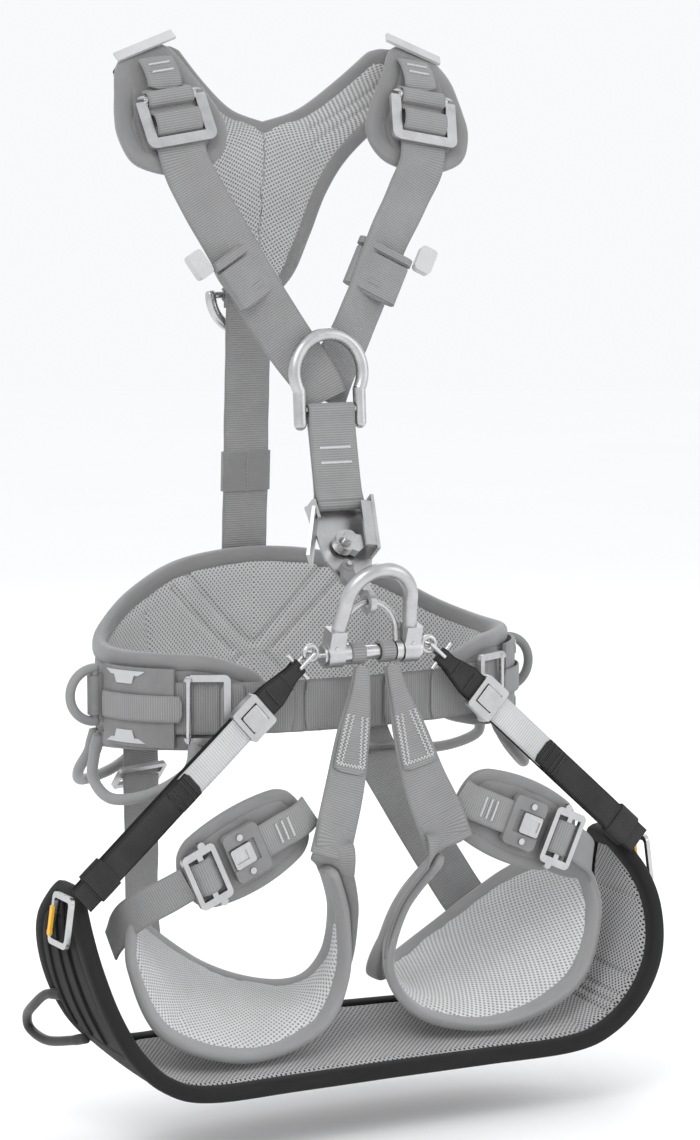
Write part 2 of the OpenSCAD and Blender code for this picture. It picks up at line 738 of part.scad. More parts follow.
// Half of the board's section, from the middle of the seat to the top of its side
seat_line = [[0, 0], [90, 0], [seat_a - 98, 2], [seat_a - 58, 15], [seat_a - 29, 42], [seat_a - 10, 76],
             [seat_a - 1, 112], [seat_a - 1, 142], [seat_a - 9, 170]];
seat_front = [-46, -47, -52, -54, -55, -50, -34, -10, 26]; // front edge at each point of the section
seat_rear = [120, 116, 104, 88, 80, 78, 80, 78, 62]; // rear edge at each point of the section
seat_steps = 3;
seat_half = curve(seat_line, seat_steps);
seat_edges = [curve(seat_front, seat_steps), curve(seat_rear, seat_steps)];
seat_last = len(seat_half) - 1;

// A point of the seat: i counts along the section from the middle, t runs from front to rear and up is out of
// the board's face. The seat's floor rises towards the rear.
function seat_point(i, t, up, inset) =
  let (k = min(abs(i), seat_last), h = k == 0 ? [1, 0] : heading(seat_half, k),
       front = seat_edges[0][k], rear = seat_edges[1][k], y = mix(front + inset, rear - inset, t),
       share = (y - front) / (rear - front))
  [sign(i) * (seat_half[k][0] - up * h[1]), y,
   -seat_drop + seat_half[k][1] + up * h[0] + seat_rise * share * share * (1 - k / seat_last)];

module seat_sheet(low, high, inset) {
  cols = 4;
  last = seat_last - (inset > 0 ? 1 : 0);
  function skin(up) = [for (i = [-last:last]) [for (j = [0:cols]) seat_point(i, j / cols, up, inset)]];
  slab(skin(high), skin(low));
}

module seat_shell() {
  color("black") seat_sheet(-5, -0.2, 0);
}

module seat_board() {
  color("tan") seat_sheet(0, 3, 12);
}

module seat_lining() {
  color("silver") seat_sheet(3.2, 9, 6);
}

seat_loop = [[271, 74, -284], [273, 98, -298], [270, 120, -312], [265, 126, -326], [259, 104, -332],
             [250, 70, -324]];

module seat_gear_loops() {
  color("black") both() tube(curve(seat_loop, 4), 4.2, [1, 0.2, 0.2]);
}

// Strap frame: X' runs from the ventral bar's end eye down to the seat's side
strap_from = [eye_x, 0, eye_z];
strap_to = [266, 0, -184];
strap_dir = unit(strap_to - strap_from);
strap_pitch = atan2(-strap_dir[2], strap_dir[0]);
strap_len = norm(strap_to - strap_from);

module on_strap(x, y = 0) {
  translate(strap_from) rotate([0, strap_pitch, 0]) translate([x, y, 0]) children();
}

strap_start = 17; // where the webbing loops round the hook's cross bar
adjuster_x = 76; // middle of the adjuster along the strap
ply = 3; // distance between the front ply and the return ply

module seat_ply(from, to, y) {
  on_strap((from + to) / 2, y) cube([to - from, seat_web_t, seat_web_w], center = true);
}

// The front ply stops inside the adjuster and goes on below it. The return ply runs behind.
module seat_webbing() {
  color("black") both() {
    seat_ply(strap_start, adjuster_x - 6, -ply);
    seat_ply(adjuster_x + 6, strap_len + 8, -ply);
    seat_ply(strap_start, strap_len + 8, ply);
    on_strap(strap_start) difference() {
      cylinder(r = ply + seat_web_t / 2, h = seat_web_w, center = true);
      cylinder(r = ply - seat_web_t / 2, h = seat_web_w + 2, center = true);
      translate([20, 0, 0]) cube([40, 20, 40], center = true);
      cube([20, 20, 6], center = true);
    }
  }
}

module seat_keepers() {
  color("black") both() on_strap(strap_len - 16, 0) difference() {
    cube([24, 13, seat_web_w + 6], center = true);
    cube([40, 9.4, seat_web_w + 1.2], center = true);
  }
}

hook_wire = 1.8;

// A wire link through the end eye, and the cross bar that the webbing loops round
module seat_hooks() {
  color("silver") both() on_strap(0) {
    rotate([90, 0, 0]) cylinder(r = hook_wire, h = 13, center = true, $fn = 24);
    for (y = [-6.5, 6.5]) translate([0, y, 0]) {
      rotate([0, 90, 0]) cylinder(r = hook_wire, h = strap_start, $fn = 24);
      sphere(hook_wire, $fn = 24);
      translate([strap_start, 0, 0]) sphere(hook_wire, $fn = 24);
    }
    translate([strap_start, 0, 0]) {
      rotate([90, 0, 0]) cylinder(r = hook_wire, h = 13, center = true, $fn = 24);
      cylinder(r = hook_wire, h = seat_web_w + 3, center = true, $fn = 24);
    }
  }
}

// The open box that grips the front ply
module seat_adjusters() {
  color("silver") both() on_strap(adjuster_x, -ply) difference() {
    plate(28, seat_web_w + 8, 8, 3);
    translate([0, 0.6, 0]) cube([40, 4.4, seat_web_w + 1.4], center = true);
    translate([0, -6, 0]) cube([19, 10, 19], center = true);
  }
}

plate_hinge_r = 1.9; // the rolled upper edge that the pressing plate turns on

// The pressing plate in the adjuster's window, hinged on its upper edge
module seat_adjuster_plate(side) {
  color("white") on_side(side) on_strap(adjuster_x, -ply - 4) {
    plate(17.6, 17.6, 3, 2);
    translate([plate_hinge_r - 8.8, 0, 0]) cylinder(r = plate_hinge_r, h = 17, center = true);
  }
}

module seat_adjuster_plate_left() { seat_adjuster_plate(-1); }
module seat_adjuster_plate_right() { seat_adjuster_plate(1); }

connector_at = [283, 14, -207];
connector_w = 38;
connector_h = 44;

module on_seat_side() {
  translate(connector_at) rotate([0, 0, 90]) rotate([-8, 0, 0]) children();
}

// A flat metal link that joins the strap's end to the seat's side
module seat_connectors() {
  color("silver") both() on_seat_side() difference() {
    plate(connector_w, connector_h, 3.6, 6);
    plate(connector_w - 9, connector_h - 10, 20, 3);
  }
}

gate_pin = [12, -12]; // the gate's hinge in the link's plane

// The spring gate that closes the link on its outer side
module seat_gate(side) {
  color("gold") on_side(side) on_seat_side() translate([gate_pin[0], -3.8, gate_pin[1]]) {
    translate([0, 0, 10]) cube([5, 2.4, 24], center = true);
    rotate([90, 0, 0]) cylinder(r = 3.2, h = 2.4, center = true);
  }
}

module seat_gate_left() { seat_gate(-1); }
module seat_gate_right() { seat_gate(1); }

waist_pad();
waist_lining();
waist_belt();
waist_side_plates();
waist_buckle_pins();
waist_buckle_left();
waist_buckle_right();
waist_gear_loops();
side_ring_mounts();
side_ring_left();
side_ring_right();
ventral_bar();
ventral_ring();
ventral_ring_screws();
chest_link();
leg_risers();
leg_pads();
leg_linings();
leg_front_pads();
leg_webbing();
leg_buckle_bodies();
leg_buckle_rivets();
leg_latch_left();
leg_latch_right();
leg_tongue_left();
leg_tongue_right();
rear_leg_straps();
rear_leg_buckles();
back_strap();
back_strap_sleeve();
back_yoke();
back_ring_mount();
back_ring();
shoulder_pads();
shoulder_plates();
shoulder_buckle_pins();
shoulder_buckle_left();
shoulder_buckle_right();
shoulder_straps();
strap_keepers();
keeper_tabs();
chest_ring();
chest_strap();
ascender_frame();
ascender_axles();
ascender_cam();
ascender_catch();
seat_shell();
seat_board();
seat_lining();
seat_gear_loops();
seat_webbing();
seat_keepers();
seat_hooks();
seat_adjusters();
seat_adjuster_plate_left();
seat_adjuster_plate_right();
seat_connectors();
seat_gate_left();
seat_gate_right();
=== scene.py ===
"""A tree climbing saddle: full-body harness with a hanging work seat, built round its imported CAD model.

Lengths in this script are millimetres unless a name ends in _m, and turn into metres where a mesh is made.
X runs across the body, -Y is the wearer's front and +Z is up. The origin is the middle of the ventral bar.
"""
import math

import bpy
import numpy as np
from mathutils import Matrix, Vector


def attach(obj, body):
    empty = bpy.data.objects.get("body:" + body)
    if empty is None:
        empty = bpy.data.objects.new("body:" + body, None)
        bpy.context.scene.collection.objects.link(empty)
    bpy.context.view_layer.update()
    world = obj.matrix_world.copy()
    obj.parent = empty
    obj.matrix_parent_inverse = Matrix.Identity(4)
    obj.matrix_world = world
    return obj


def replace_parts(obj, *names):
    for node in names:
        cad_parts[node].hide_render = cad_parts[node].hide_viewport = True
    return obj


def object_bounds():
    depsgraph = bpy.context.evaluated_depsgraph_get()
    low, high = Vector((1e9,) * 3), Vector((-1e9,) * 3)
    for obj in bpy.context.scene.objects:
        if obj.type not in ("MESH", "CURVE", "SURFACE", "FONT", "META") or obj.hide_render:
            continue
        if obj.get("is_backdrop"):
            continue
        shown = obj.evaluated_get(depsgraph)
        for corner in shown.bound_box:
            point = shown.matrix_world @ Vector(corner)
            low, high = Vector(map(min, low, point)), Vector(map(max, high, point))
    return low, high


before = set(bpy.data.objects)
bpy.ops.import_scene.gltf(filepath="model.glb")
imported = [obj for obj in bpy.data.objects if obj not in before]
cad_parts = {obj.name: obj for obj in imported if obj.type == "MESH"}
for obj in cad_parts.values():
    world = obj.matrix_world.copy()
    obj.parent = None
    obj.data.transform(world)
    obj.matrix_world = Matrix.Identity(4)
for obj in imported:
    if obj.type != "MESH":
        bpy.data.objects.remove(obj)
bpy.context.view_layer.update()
MM = 0.001
scene = bpy.context.scene

# ---------- curves ----------


def unit(v):
    """Each vector over its own length."""
    return v / np.maximum(np.linalg.norm(v, axis=-1, keepdims=True), 1e-9)


def cubic(a, b, c, d, t):
    """Catmull-Rom: the cubic that leaves b along c - a and reaches c along d - b, at t from 0 to 1."""
    return 0.5 * (2 * b + (c - a) * t + (2 * a - 5 * b + 4 * c - d) * t * t + (3 * b - a - 3 * c + d) * t**3)


def smooth(points, steps):
    """The Catmull-Rom curve through the points, steps even parameters to each span, end points repeated."""
    p = np.asarray(points, float)
    p = p[:, None] if p.ndim == 1 else p
    q = np.vstack([p[:1], p, p[-1:]])
    t = (np.arange(steps) / steps)[None, :, None]
    s = cubic(q[:-3, None], q[1:-2, None], q[2:-1, None], q[3:, None], t)
    return np.vstack([s.reshape(-1, p.shape[1]), p[-1:]])


def on_curve(points, u):
    """The same curve at any u from 0 to 1, every span taking an equal share of u."""
    p = np.asarray(points, float)
    p = p[:, None] if p.ndim == 1 else p
    n = len(p)
    x = np.asarray(u, float) * (n - 1)
    i = np.clip(np.floor(x).astype(int), 0, n - 2)
    t = (x - i)[..., None]
    return cubic(p[np.maximum(i - 1, 0)], p[i], p[i + 1], p[np.minimum(i + 2, n - 1)], t)


def along(table, x):
    """The value at x of the Catmull-Rom curve through (x, value) pairs, held at its last value outside them."""
    k, v = np.array(table, float).T
    i = np.clip(np.searchsorted(k, x, side="right") - 1, 0, len(k) - 2)
    t = np.clip((x - k[i]) / (k[i + 1] - k[i]), 0, 1)
    return cubic(v[np.maximum(i - 1, 0)], v[i], v[i + 1], v[np.minimum(i + 2, len(k) - 1)], t)


def heading(p, loop=False):
    """The direction of a line of points: each point's next neighbour less its last one."""
    if loop:
        return unit(np.roll(p, -1, 0) - np.roll(p, 1, 0))
    q = np.vstack([p[:1], p, p[-1:]])
    return unit(q[2:] - q[:-2])


def run_length(p):
    """The distance along a line of points up to each of them."""
    return np.concatenate([[0], np.cumsum(np.linalg.norm(np.diff(p, axis=0), axis=1))])


def even(p, step):
    """The same line with points about step apart."""
    s = run_length(p)
    n = max(2, int(round(s[-1] / step)) + 1)
    at = np.linspace(0, s[-1], n)
    return np.stack([np.interp(at, s, p[:, k]) for k in range(p.shape[1])], 1)


def flip_x(p):
    """The same points on the other side of the body."""
    return np.asarray(p, float) * [-1, 1, 1]


def turned(p, x=0, y=0, z=0):
    """Points turned about X, then Y, then Z, in degrees."""
    p = np.asarray(p, float)
    for axis, angle in ((0, x), (1, y), (2, z)):
        c, s = math.cos(math.radians(angle)), math.sin(math.radians(angle))
        m = [[[1, 0, 0], [0, c, -s], [0, s, c]], [[c, 0, s], [0, 1, 0], [-s, 0, c]], [[c, -s, 0], [s, c, 0], [0, 0, 1]]]
        p = p @ np.array(m[axis]).T
    return p


# ---------- meshes ----------


def net(rows, cols, wrap_rows=False, wrap_cols=False):
    """The four-sided faces of a grid of rows by cols points."""
    i = np.arange(rows if wrap_rows else rows - 1)[:, None]
    j = np.arange(cols if wrap_cols else cols - 1)[None, :]
    down, right = (i + 1) % rows, (j + 1) % cols
    return np.stack([i * cols + j, i * cols + right, down * cols + right, down * cols + j], -1).reshape(-1, 4)


def volume(v, faces):
    """Six times the signed volume of closed faces: the sum of each face's fan of triple products."""
    total = 0
    for f in faces:
        a = np.asarray(f)
        a = a if a.ndim == 2 else a[None]
        for k in range(1, a.shape[1] - 1):
            total += np.einsum("ij,ij->", v[a[:, 0]], np.cross(v[a[:, k]], v[a[:, k + 1]]))
    return total


def piece(name, v, faces, *finishes, cloth=None, crease=None):
    """A mesh object at the origin from points in millimetres and lists of faces, turned outward. cloth is each
    point's (along, across, from edge) on the flat cloth. Edges sharper than crease degrees stay sharp."""
    v = np.asarray(v, float)
    if volume(v - v.mean(0), faces) < 0:
        faces = [np.asarray(f)[..., ::-1] for f in faces]
    flat = [row for f in faces for row in (np.asarray(f).tolist() if np.asarray(f).ndim == 2 else [list(map(int, f))])]
    mesh = bpy.data.meshes.new(name)
    mesh.from_pydata((v * MM).tolist(), [], flat)
    mesh.polygons.foreach_set("use_smooth", np.ones(len(mesh.polygons), bool))
    if cloth is not None:
        lay(mesh, cloth)
    for f in finishes:
        mesh.materials.append(f)
    if crease:
        mesh.set_sharp_from_angle(angle=math.radians(crease))
    mesh.update()
    o = bpy.data.objects.new(name, mesh)
    scene.collection.objects.link(o)
    return o


def lay(mesh, cloth):
    """Stores the flat cloth's coordinates on the points, in metres."""
    a = mesh.attributes.get("cloth") or mesh.attributes.new("cloth", "FLOAT_VECTOR", "POINT")
    a.data.foreach_set("vector", (np.asarray(cloth, np.float32) * MM).ravel())


def coords(mesh):
    """The mesh's points in millimetres."""
    co = np.zeros(len(mesh.vertices) * 3, np.float32)
    mesh.vertices.foreach_get("co", co)
    return co.reshape(-1, 3).astype(float) / MM


def put(mesh, v):
    """Moves the mesh's points to v, in millimetres."""
    mesh.vertices.foreach_set("co", (v * MM).astype(np.float32).ravel())
    mesh.update()


def joined(parts):
    """Several (points, faces, cloth) made one, with the face numbers moved on."""
    v, faces, cloth, start = [], [], [], 0
    for p, f, c in parts:
        v.append(p)
        cloth.append(c if c is not None else np.zeros_like(p))
        faces += [np.asarray(a) + start for a in f]
        start += len(p)
    return np.vstack(v), faces, np.vstack(cloth)


def swept(path, side, up, outline, loop=False, wide=1.0, deep=1.0, round_ends=0.0):
    """An outline of (across, up) pairs carried along a path: point + side * across + up * up. With round_ends the
    outline shrinks over that length at both ends as a quarter circle does. The ends are closed with flat faces."""
    n, m = len(path), len(outline)
    s = run_length(path)
    wide = np.broadcast_to(np.asarray(wide, float), (n,))[:, None]
    deep = np.broadcast_to(np.asarray(deep, float), (n,))[:, None]
    if round_ends:
        d = np.minimum(s, s[-1] - s) / round_ends
        taper = np.sqrt(np.clip(1 - (1 - np.clip(d, 0, 1)) ** 2, 0.04, 1))[:, None]
        wide, deep = wide * (0.5 + 0.5 * taper), deep * taper
    v = path[:, None] + side[:, None] * (outline[:, 0] * wide)[..., None]
    v = v + up[:, None] * (outline[:, 1] * deep)[..., None]
    faces = [net(n, m, wrap_rows=loop, wrap_cols=True)]
    if not loop:
        faces += [np.arange(m)[::-1], (n - 1) * m + np.arange(m)]
    across = outline[:, 0] * wide
    edge = np.abs(outline[:, 0]).max() * wide - np.abs(across)
    cloth = np.stack([np.broadcast_to(s[:, None], (n, m)), across, edge], -1).reshape(-1, 3)
    return v.reshape(-1, 3), faces, cloth


def web_outline(width, thick, flat=7, bend=2):
    """A flat strap's outline: two straight faces joined by half-round edges."""
    r = thick / 2
    a = np.radians(np.linspace(-90, 90, bend + 2))
    edge = np.c_[width / 2 - r + r * np.cos(a), r * np.sin(a)]
    top = np.c_[np.linspace(width / 2 - r, r - width / 2, flat + 2)[1:-1], np.full(flat, r)]
    half = np.vstack([edge, top])
    return np.vstack([half, -half])


def ring_outline(r, sides=12):
    """A circle of radius r."""
    a = np.linspace(0, 2 * np.pi, sides, endpoint=False)
    return np.c_[r * np.cos(a), r * np.sin(a)]


def strap_frame(p, w, loop=False):
    """The strap's across and up directions: up is across the heading and w, and across is square to both."""
    h = heading(p, loop)
    up = unit(np.cross(h, unit(w)))
    return np.cross(up, h), up


def strap_part(stations, width, thick, step=2.5, wave=0.0, shift=0.0, turn=0.0, **more):
    """A flat strap through (point, across) stations, for joined(). wave lifts the web in a slow ripple along it, and
    shift moves it along its own up direction."""
    line = np.hstack([smooth([s[0] for s in stations], 12), smooth([s[1] for s in stations], 12)])
    line = even(line, step)
    p, w = line[:, :3], line[:, 3:]
    side, up = strap_frame(p, w)
    s = run_length(p)
    p = p + up * (shift + wave * np.sin(s / 21 + turn) * np.sin(s / 9.5 + 2 * turn))[:, None]
    if "wide" in more:
        more["wide"] = np.interp(s, *more["wide"])
    return swept(p, side, up, web_outline(width, thick), **more)


def tube_part(points, r, up, sides=14, step=2.5, loop=False, **more):
    """A round tube along a smooth curve, for joined()."""
    p = even(smooth(points, 14), step)
    side = unit(np.cross(heading(p), up))
    return swept(p, side, np.cross(side, heading(p)), ring_outline(r, sides), **more)


def threads(p, q, up, r=0.45):
    """Short sewing stitches from each p to each q, for joined(): a four-sided spindle that stands a little proud."""
    h = unit(q - p)
    side = unit(np.cross(h, up))
    top = np.cross(side, h)
    mid = (p + q) / 2 + top * r * 0.8
    quarter = h * 0.25 * np.linalg.norm(q - p, axis=1)[:, None]
    at = np.stack([p, mid - quarter, mid + quarter, q], 1)
    size = np.array([0.35, 1, 1, 0.35]) * r
    around = np.array([[1, 0], [0, 1], [-1, 0], [0, -1]], float)
    v = at[:, :, None] + side[:, None, None] * (around[:, 0] * size[:, None])[None, ..., None] \
        + top[:, None, None] * (around[:, 1] * size[:, None])[None, ..., None]
    n = len(p)
    one = np.vstack([net(4, 4, wrap_cols=True), [[3, 2, 1, 0]], [[12, 13, 14, 15]]])
    faces = (one[None] + 16 * np.arange(n)[:, None, None]).reshape(-1, 4)
    return v.reshape(-1, 3), [faces], None


def stitch_line(path, up, pitch=3.2, gap=0.9, r=0.4):
    """A row of stitches along a path: the path is cut every pitch, and each cut leaves a gap."""
    joint = np.hstack([path, np.broadcast_to(up, path.shape)])
    joint = even(joint, pitch)
    p, q = joint[:-1, :3], joint[1:, :3]
    return threads(p, q - unit(q - p) * gap, joint[:-1, 3:], r)


def zigzag(start, end, across, up, width, pitch=1.1, r=0.4):
    """Bar-tack stitches between start and end that go from side to side of a band width wide."""
    n = max(2, int(np.linalg.norm(np.subtract(end, start)) / pitch))
    t = np.linspace(0, 1, n + 1)[:, None]
    line = np.asarray(start) * (1 - t) + np.asarray(end) * t
    line = line + np.asarray(across) * (width / 2 * np.where(np.arange(n + 1) % 2, 1, -1))[:, None]
    return threads(line[:-1], line[1:], np.broadcast_to(np.asarray(up, float), (n, 3)), r)


def baked(o):
    """Gives the object the mesh that its modifiers make."""
    graph = bpy.context.evaluated_depsgraph_get()
    mesh = bpy.data.meshes.new_from_object(o.evaluated_get(graph), preserve_all_data_layers=True, depsgraph=graph)
    o.modifiers.clear()
    o.data = mesh


# ---------- stuffed pads ----------


def stuffed(o, voxel, reach, pressure=4.0):
    """Turns the piece into voxels, lets air pressure swell it as cloth for 20 frames with no point moving further
    than reach, and subdivides it once."""
    m = o.modifiers.new("voxels", "REMESH")
    m.mode, m.voxel_size, m.use_smooth_shade = "VOXEL", voxel * MM, True
    baked(o)
    rest = coords(o.data)
    m = o.modifiers.new("stuffing", "CLOTH")
    m.settings.quality = 4
    m.settings.use_pressure, m.settings.uniform_pressure_force = True, pressure
    m.settings.tension_stiffness = m.settings.compression_stiffness = 25
    m.settings.effector_weights.gravity = 0
    m.point_cache.frame_start, m.point_cache.frame_end = 1, 20
    for f in range(1, 21):
        scene.frame_set(f)
    graph = bpy.context.evaluated_depsgraph_get()
    swollen = coords(o.evaluated_get(graph).data)
    o.modifiers.clear()
    scene.frame_set(1)
    move = swollen - rest
    far = np.linalg.norm(move, axis=1, keepdims=True)
    put(o.data, rest + move * np.minimum(1, reach / np.maximum(far, 1e-6)))
    m = o.modifiers.new("subdivision", "SUBSURF")
    m.levels = m.render_levels = 1
    baked(o)


def unfold(skin, v, nu=200, nv=24):
    """Where each point v lies on the surface skin(u, v, off): the nearest of a grid of samples, put right along the
    surface's two slopes. Returns u, v, the height off the surface, and the flat cloth's (along, across)."""
    uu, vv = (a.ravel() for a in np.meshgrid(np.linspace(0, 1, nu), np.linspace(0, 1, nv), indexing="ij"))
    q = skin(uu, vv, 0)
    e = 1e-3
    tu = (skin(uu + e, vv, 0) - skin(uu - e, vv, 0)) / (2 * e)
    tv = (skin(uu, vv + e, 0) - skin(uu, vv - e, 0)) / (2 * e)
    normal = unit(skin(uu, vv, 1) - q)
    near = np.concatenate([np.argmin((q * q).sum(1) - 2 * v[k:k + 3000] @ q.T, axis=1) for k in range(0, len(v), 3000)])
    r, a, b = v - q[near], tu[near], tv[near]
    g11, g12, g22 = (a * a).sum(1), (a * b).sum(1), (b * b).sum(1)
    ra, rb, det = (r * a).sum(1), (r * b).sum(1), (a * a).sum(1) * (b * b).sum(1) - (a * b).sum(1) ** 2
    u = uu[near] + (g22 * ra - g12 * rb) / det
    w = vv[near] + (g11 * rb - g12 * ra) / det
    middle = skin(np.linspace(0, 1, nu), np.full(nu, 0.5), 0)
    breadth = np.linalg.norm(skin(np.linspace(0, 1, nu), np.ones(nu), 0) - skin(np.linspace(0, 1, nu), np.zeros(nu), 0), axis=1)
    s = np.interp(u, np.linspace(0, 1, nu), run_length(middle))
    t = (w - 0.5) * np.interp(u, np.linspace(0, 1, nu), breadth)
    return u, w, (r * normal[near]).sum(1), s, t, normal[near]


def pad_part(skin, size, thick, margin, rim, nu=90, nv=20):
    """A flat closed slab round the surface skin, margin inside its edges, whose two faces come together over the last
    rim millimetres as a quarter ellipse does. size is the surface's length and breadth."""
    du = margin / size[0]
    u, v = np.meshgrid(np.linspace(du, 1 - du, nu), np.linspace(0, 1, nv), indexing="ij")
    wide = breadth(skin, u) - 2 * margin
    d = np.minimum(np.minimum(u - du, 1 - du - u) * size[0], np.minimum(v, 1 - v) * wide)
    v = 0.5 + (v - 0.5) * wide / (wide + 2 * margin)
    h = thick / 2 * np.sqrt(np.clip(1 - (1 - np.clip(d / rim, 0, 1)) ** 2, 0.09, 1))
    outer, inner = skin(u, v, h), skin(u, v, -h)
    p = np.concatenate([outer, inner[:, ::-1]], 1)
    n, m = p.shape[:2]
    ends = [np.stack([np.arange(nv - 1), np.arange(1, nv), m - 2 - np.arange(nv - 1), m - 1 - np.arange(nv - 1)], 1)]
    ends.append(ends[0][:, ::-1] + (n - 1) * m)
    return p.reshape(-1, 3), [net(n, m, wrap_cols=True), *ends], None


def breadth(skin, u):
    """How wide the surface is, from edge to edge, at u."""
    return np.linalg.norm(skin(u, np.ones_like(u), 0 * u) - skin(u, np.zeros_like(u), 0 * u), axis=-1)


def outline_loop(skin, size, margin, radius, count=420):
    """A rounded rectangle in the surface's (u, v), margin inside its edges, with corners of that radius."""
    a, b = size[0] - 2 * margin, size[1] - 2 * margin
    arc = np.radians(np.linspace(0, 90, 9))
    corner = radius * np.c_[np.cos(arc), np.sin(arc)]
    quarter = [(a / 2 - radius, b / 2 - radius, 0), (radius - a / 2, b / 2 - radius, 90),
               (radius - a / 2, radius - b / 2, 180), (a / 2 - radius, radius - b / 2, 270)]
    p = np.vstack([np.array([x, y]) + turned(np.c_[corner, np.zeros(9)], z=k)[:, :2] for x, y, k in quarter])
    p = np.vstack([p, p[:1]])
    s = run_length(p)
    at = np.linspace(0, s[-1], count, endpoint=False)
    p = np.stack([np.interp(at, s, p[:, k]) for k in (0, 1)], 1)
    u = 0.5 + p[:, 0] / size[0]
    return np.c_[u, 0.5 + p[:, 1] / (b / 2) * (0.5 - margin / breadth(skin, u))]


def binding_part(skin, uv, width, thick, sides=14):
    """Edge tape folded over the pad's rim: a flattened ring outline carried along the loop uv on the surface."""
    p = skin(uv[:, 0], uv[:, 1], 0)
    up = unit(skin(uv[:, 0], uv[:, 1], 1) - p)
    side = unit(np.cross(heading(p, True), up))
    a = np.linspace(0, 2 * np.pi, sides, endpoint=False)
    c, s = np.cos(a), np.sin(a)
    ring = np.c_[np.sign(c) * np.abs(c) ** 0.8 * width / 2, np.sign(s) * np.abs(s) ** 0.55 * thick / 2]
    v, faces, cloth = swept(p, side, up, ring, loop=True)
    around = np.tile(run_length(ring), len(p))
    return v, faces, np.c_[cloth[:, 0], around, np.full(len(v), 5.0)]


def pad(name, skin, size, thick, body, nodes, finishes, margin=4, rim=10, voxel=4.0, reach=2.0,
        seams=None, parts=None, lined=1.0):
    """A padded piece: slab, voxels, pressure and one subdivision, then its cloth coordinates and pressed seams. The
    faces that look inward, towards the wearer, take the second finish as far as u = lined. seams(u, v, s, t, side)
    gives how deep the surface is drawn in."""
    v, faces, _ = joined(parts or [pad_part(skin, size, thick, margin, rim)])
    o = piece(name, v, faces, *finishes)
    stuffed(o, voxel, reach)
    v = coords(o.data)
    u, w, high, s, t, normal = unfold(skin, v)
    if seams:
        depth = seams(u, w, s, t, np.sign(high))
        put(o.data, v - normal * (np.sign(high) * depth)[:, None])
    lay(o.data, np.c_[s, t, np.minimum(w, 1 - w) * size[1]])
    ends = np.zeros(len(o.data.loops), np.int32)
    o.data.loops.foreach_get("vertex_index", ends)
    starts = np.zeros(len(o.data.polygons), np.int32)
    o.data.polygons.foreach_get("loop_start", starts)
    o.data.polygons.foreach_set("material_index", ((high < 0) & (u < lined))[ends][starts].astype(np.int32))
    o.data.polygons.foreach_set("use_smooth", np.ones(len(starts), bool))
    o.data.update()
    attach(o, body)
    if nodes:
        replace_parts(o, *nodes)
    return o


def groove(distance, width, depth):
    """The depth of a pressed seam at a distance from its line: depth * exp(-(distance / width)^2)."""
    return depth * np.exp(-((distance / width) ** 2))


def from_line(x, y, a, b):
    """The distance of each (x, y) from the straight stretch from a to b."""
    a, b = np.asarray(a, float), np.asarray(b, float)
    d = b - a
    t = np.clip(((x - a[0]) * d[0] + (y - a[1]) * d[1]) / (d @ d), 0, 1)
    return np.hypot(x - a[0] - t * d[0], y - a[1] - t * d[1])


# ---------- finishes ----------


class Finish:
    """A node material. put() adds a node with its sockets set from numbers or from other nodes' outputs."""

    def __init__(self, name, rough, metal=0.0, **shader):
        self.material = bpy.data.materials.new(name)
        self.material.use_nodes = True
        self.tree = self.material.node_tree
        self.shader = self.tree.nodes["Principled BSDF"]
        self.set(self.shader, {"Roughness": rough, "Metallic": metal, **shader})

    def set(self, node, sockets):
        """Link or set each socket of node."""
        for key, value in sockets.items():
            socket = node.inputs[key]
            if isinstance(value, bpy.types.NodeSocket):
                self.tree.links.new(value, socket)
            else:
                socket.default_value = value

    def put(self, kind, out=0, props=None, **sockets):
        """Add a node, with _0 for its first input and so on, and give its output."""
        node = self.tree.nodes.new(kind)
        for key, value in (props or {}).items():
            setattr(node, key, value)
        self.set(node, {int(k[1:]) if k[0] == "_" else k.replace("_", " "): v for k, v in sockets.items()})
        return node.outputs[out]

    def math(self, operation, a, b=0.0, c=0.0, clamp=False):
        """One arithmetic step."""
        return self.put("ShaderNodeMath", props={"operation": operation, "use_clamp": clamp}, _0=a, _1=b, _2=c)

    def place(self, source):
        """Object coordinates, or the flat cloth's own."""
        if source == "cloth":
            return self.put("ShaderNodeAttribute", 1, {"attribute_name": "cloth"})
        return self.put("ShaderNodeTexCoord", 3)

    def noise(self, at, per_m, detail=3.0, rough=0.55, stretch=None):
        """Cloud noise with per_m features to the metre."""
        if stretch:
            at = self.put("ShaderNodeMapping", _0=at, Scale=stretch)
        return self.put("ShaderNodeTexNoise", Vector=at, Scale=per_m, Detail=detail, Roughness=rough)

    def ramp(self, value, low, high, to_low=0.0, to_high=1.0):
        """value carried from low..high to to_low..to_high."""
        return self.put("ShaderNodeMapRange", _0=value, _1=low, _2=high, _3=to_low, _4=to_high)

    def blend(self, share, a, b):
        """Colour a at 0 and b at 1."""
        return self.put("ShaderNodeMix", 2, {"data_type": "RGBA"}, _0=share, _6=a, _7=b)

    def finish(self, colour, height=None, depth_m=0.0003, strength=0.6, rough=None):
        """Connect the colour, a bump and the roughness, and give the material."""
        self.set(self.shader, {"Base Color": colour})
        if height is not None:
            self.set(self.shader, {"Normal": self.put(
                "ShaderNodeBump", Strength=strength, Distance=depth_m, Height=height)})
        if rough is not None:
            self.set(self.shader, {"Roughness": rough})
        return self.material


def grey(value, warm=0.0):
    """A grey of that linear lightness, a little warmer or cooler."""
    return (value * (1 + warm), value, value * (1 - warm), 1.0)


TURN = 2 * math.pi


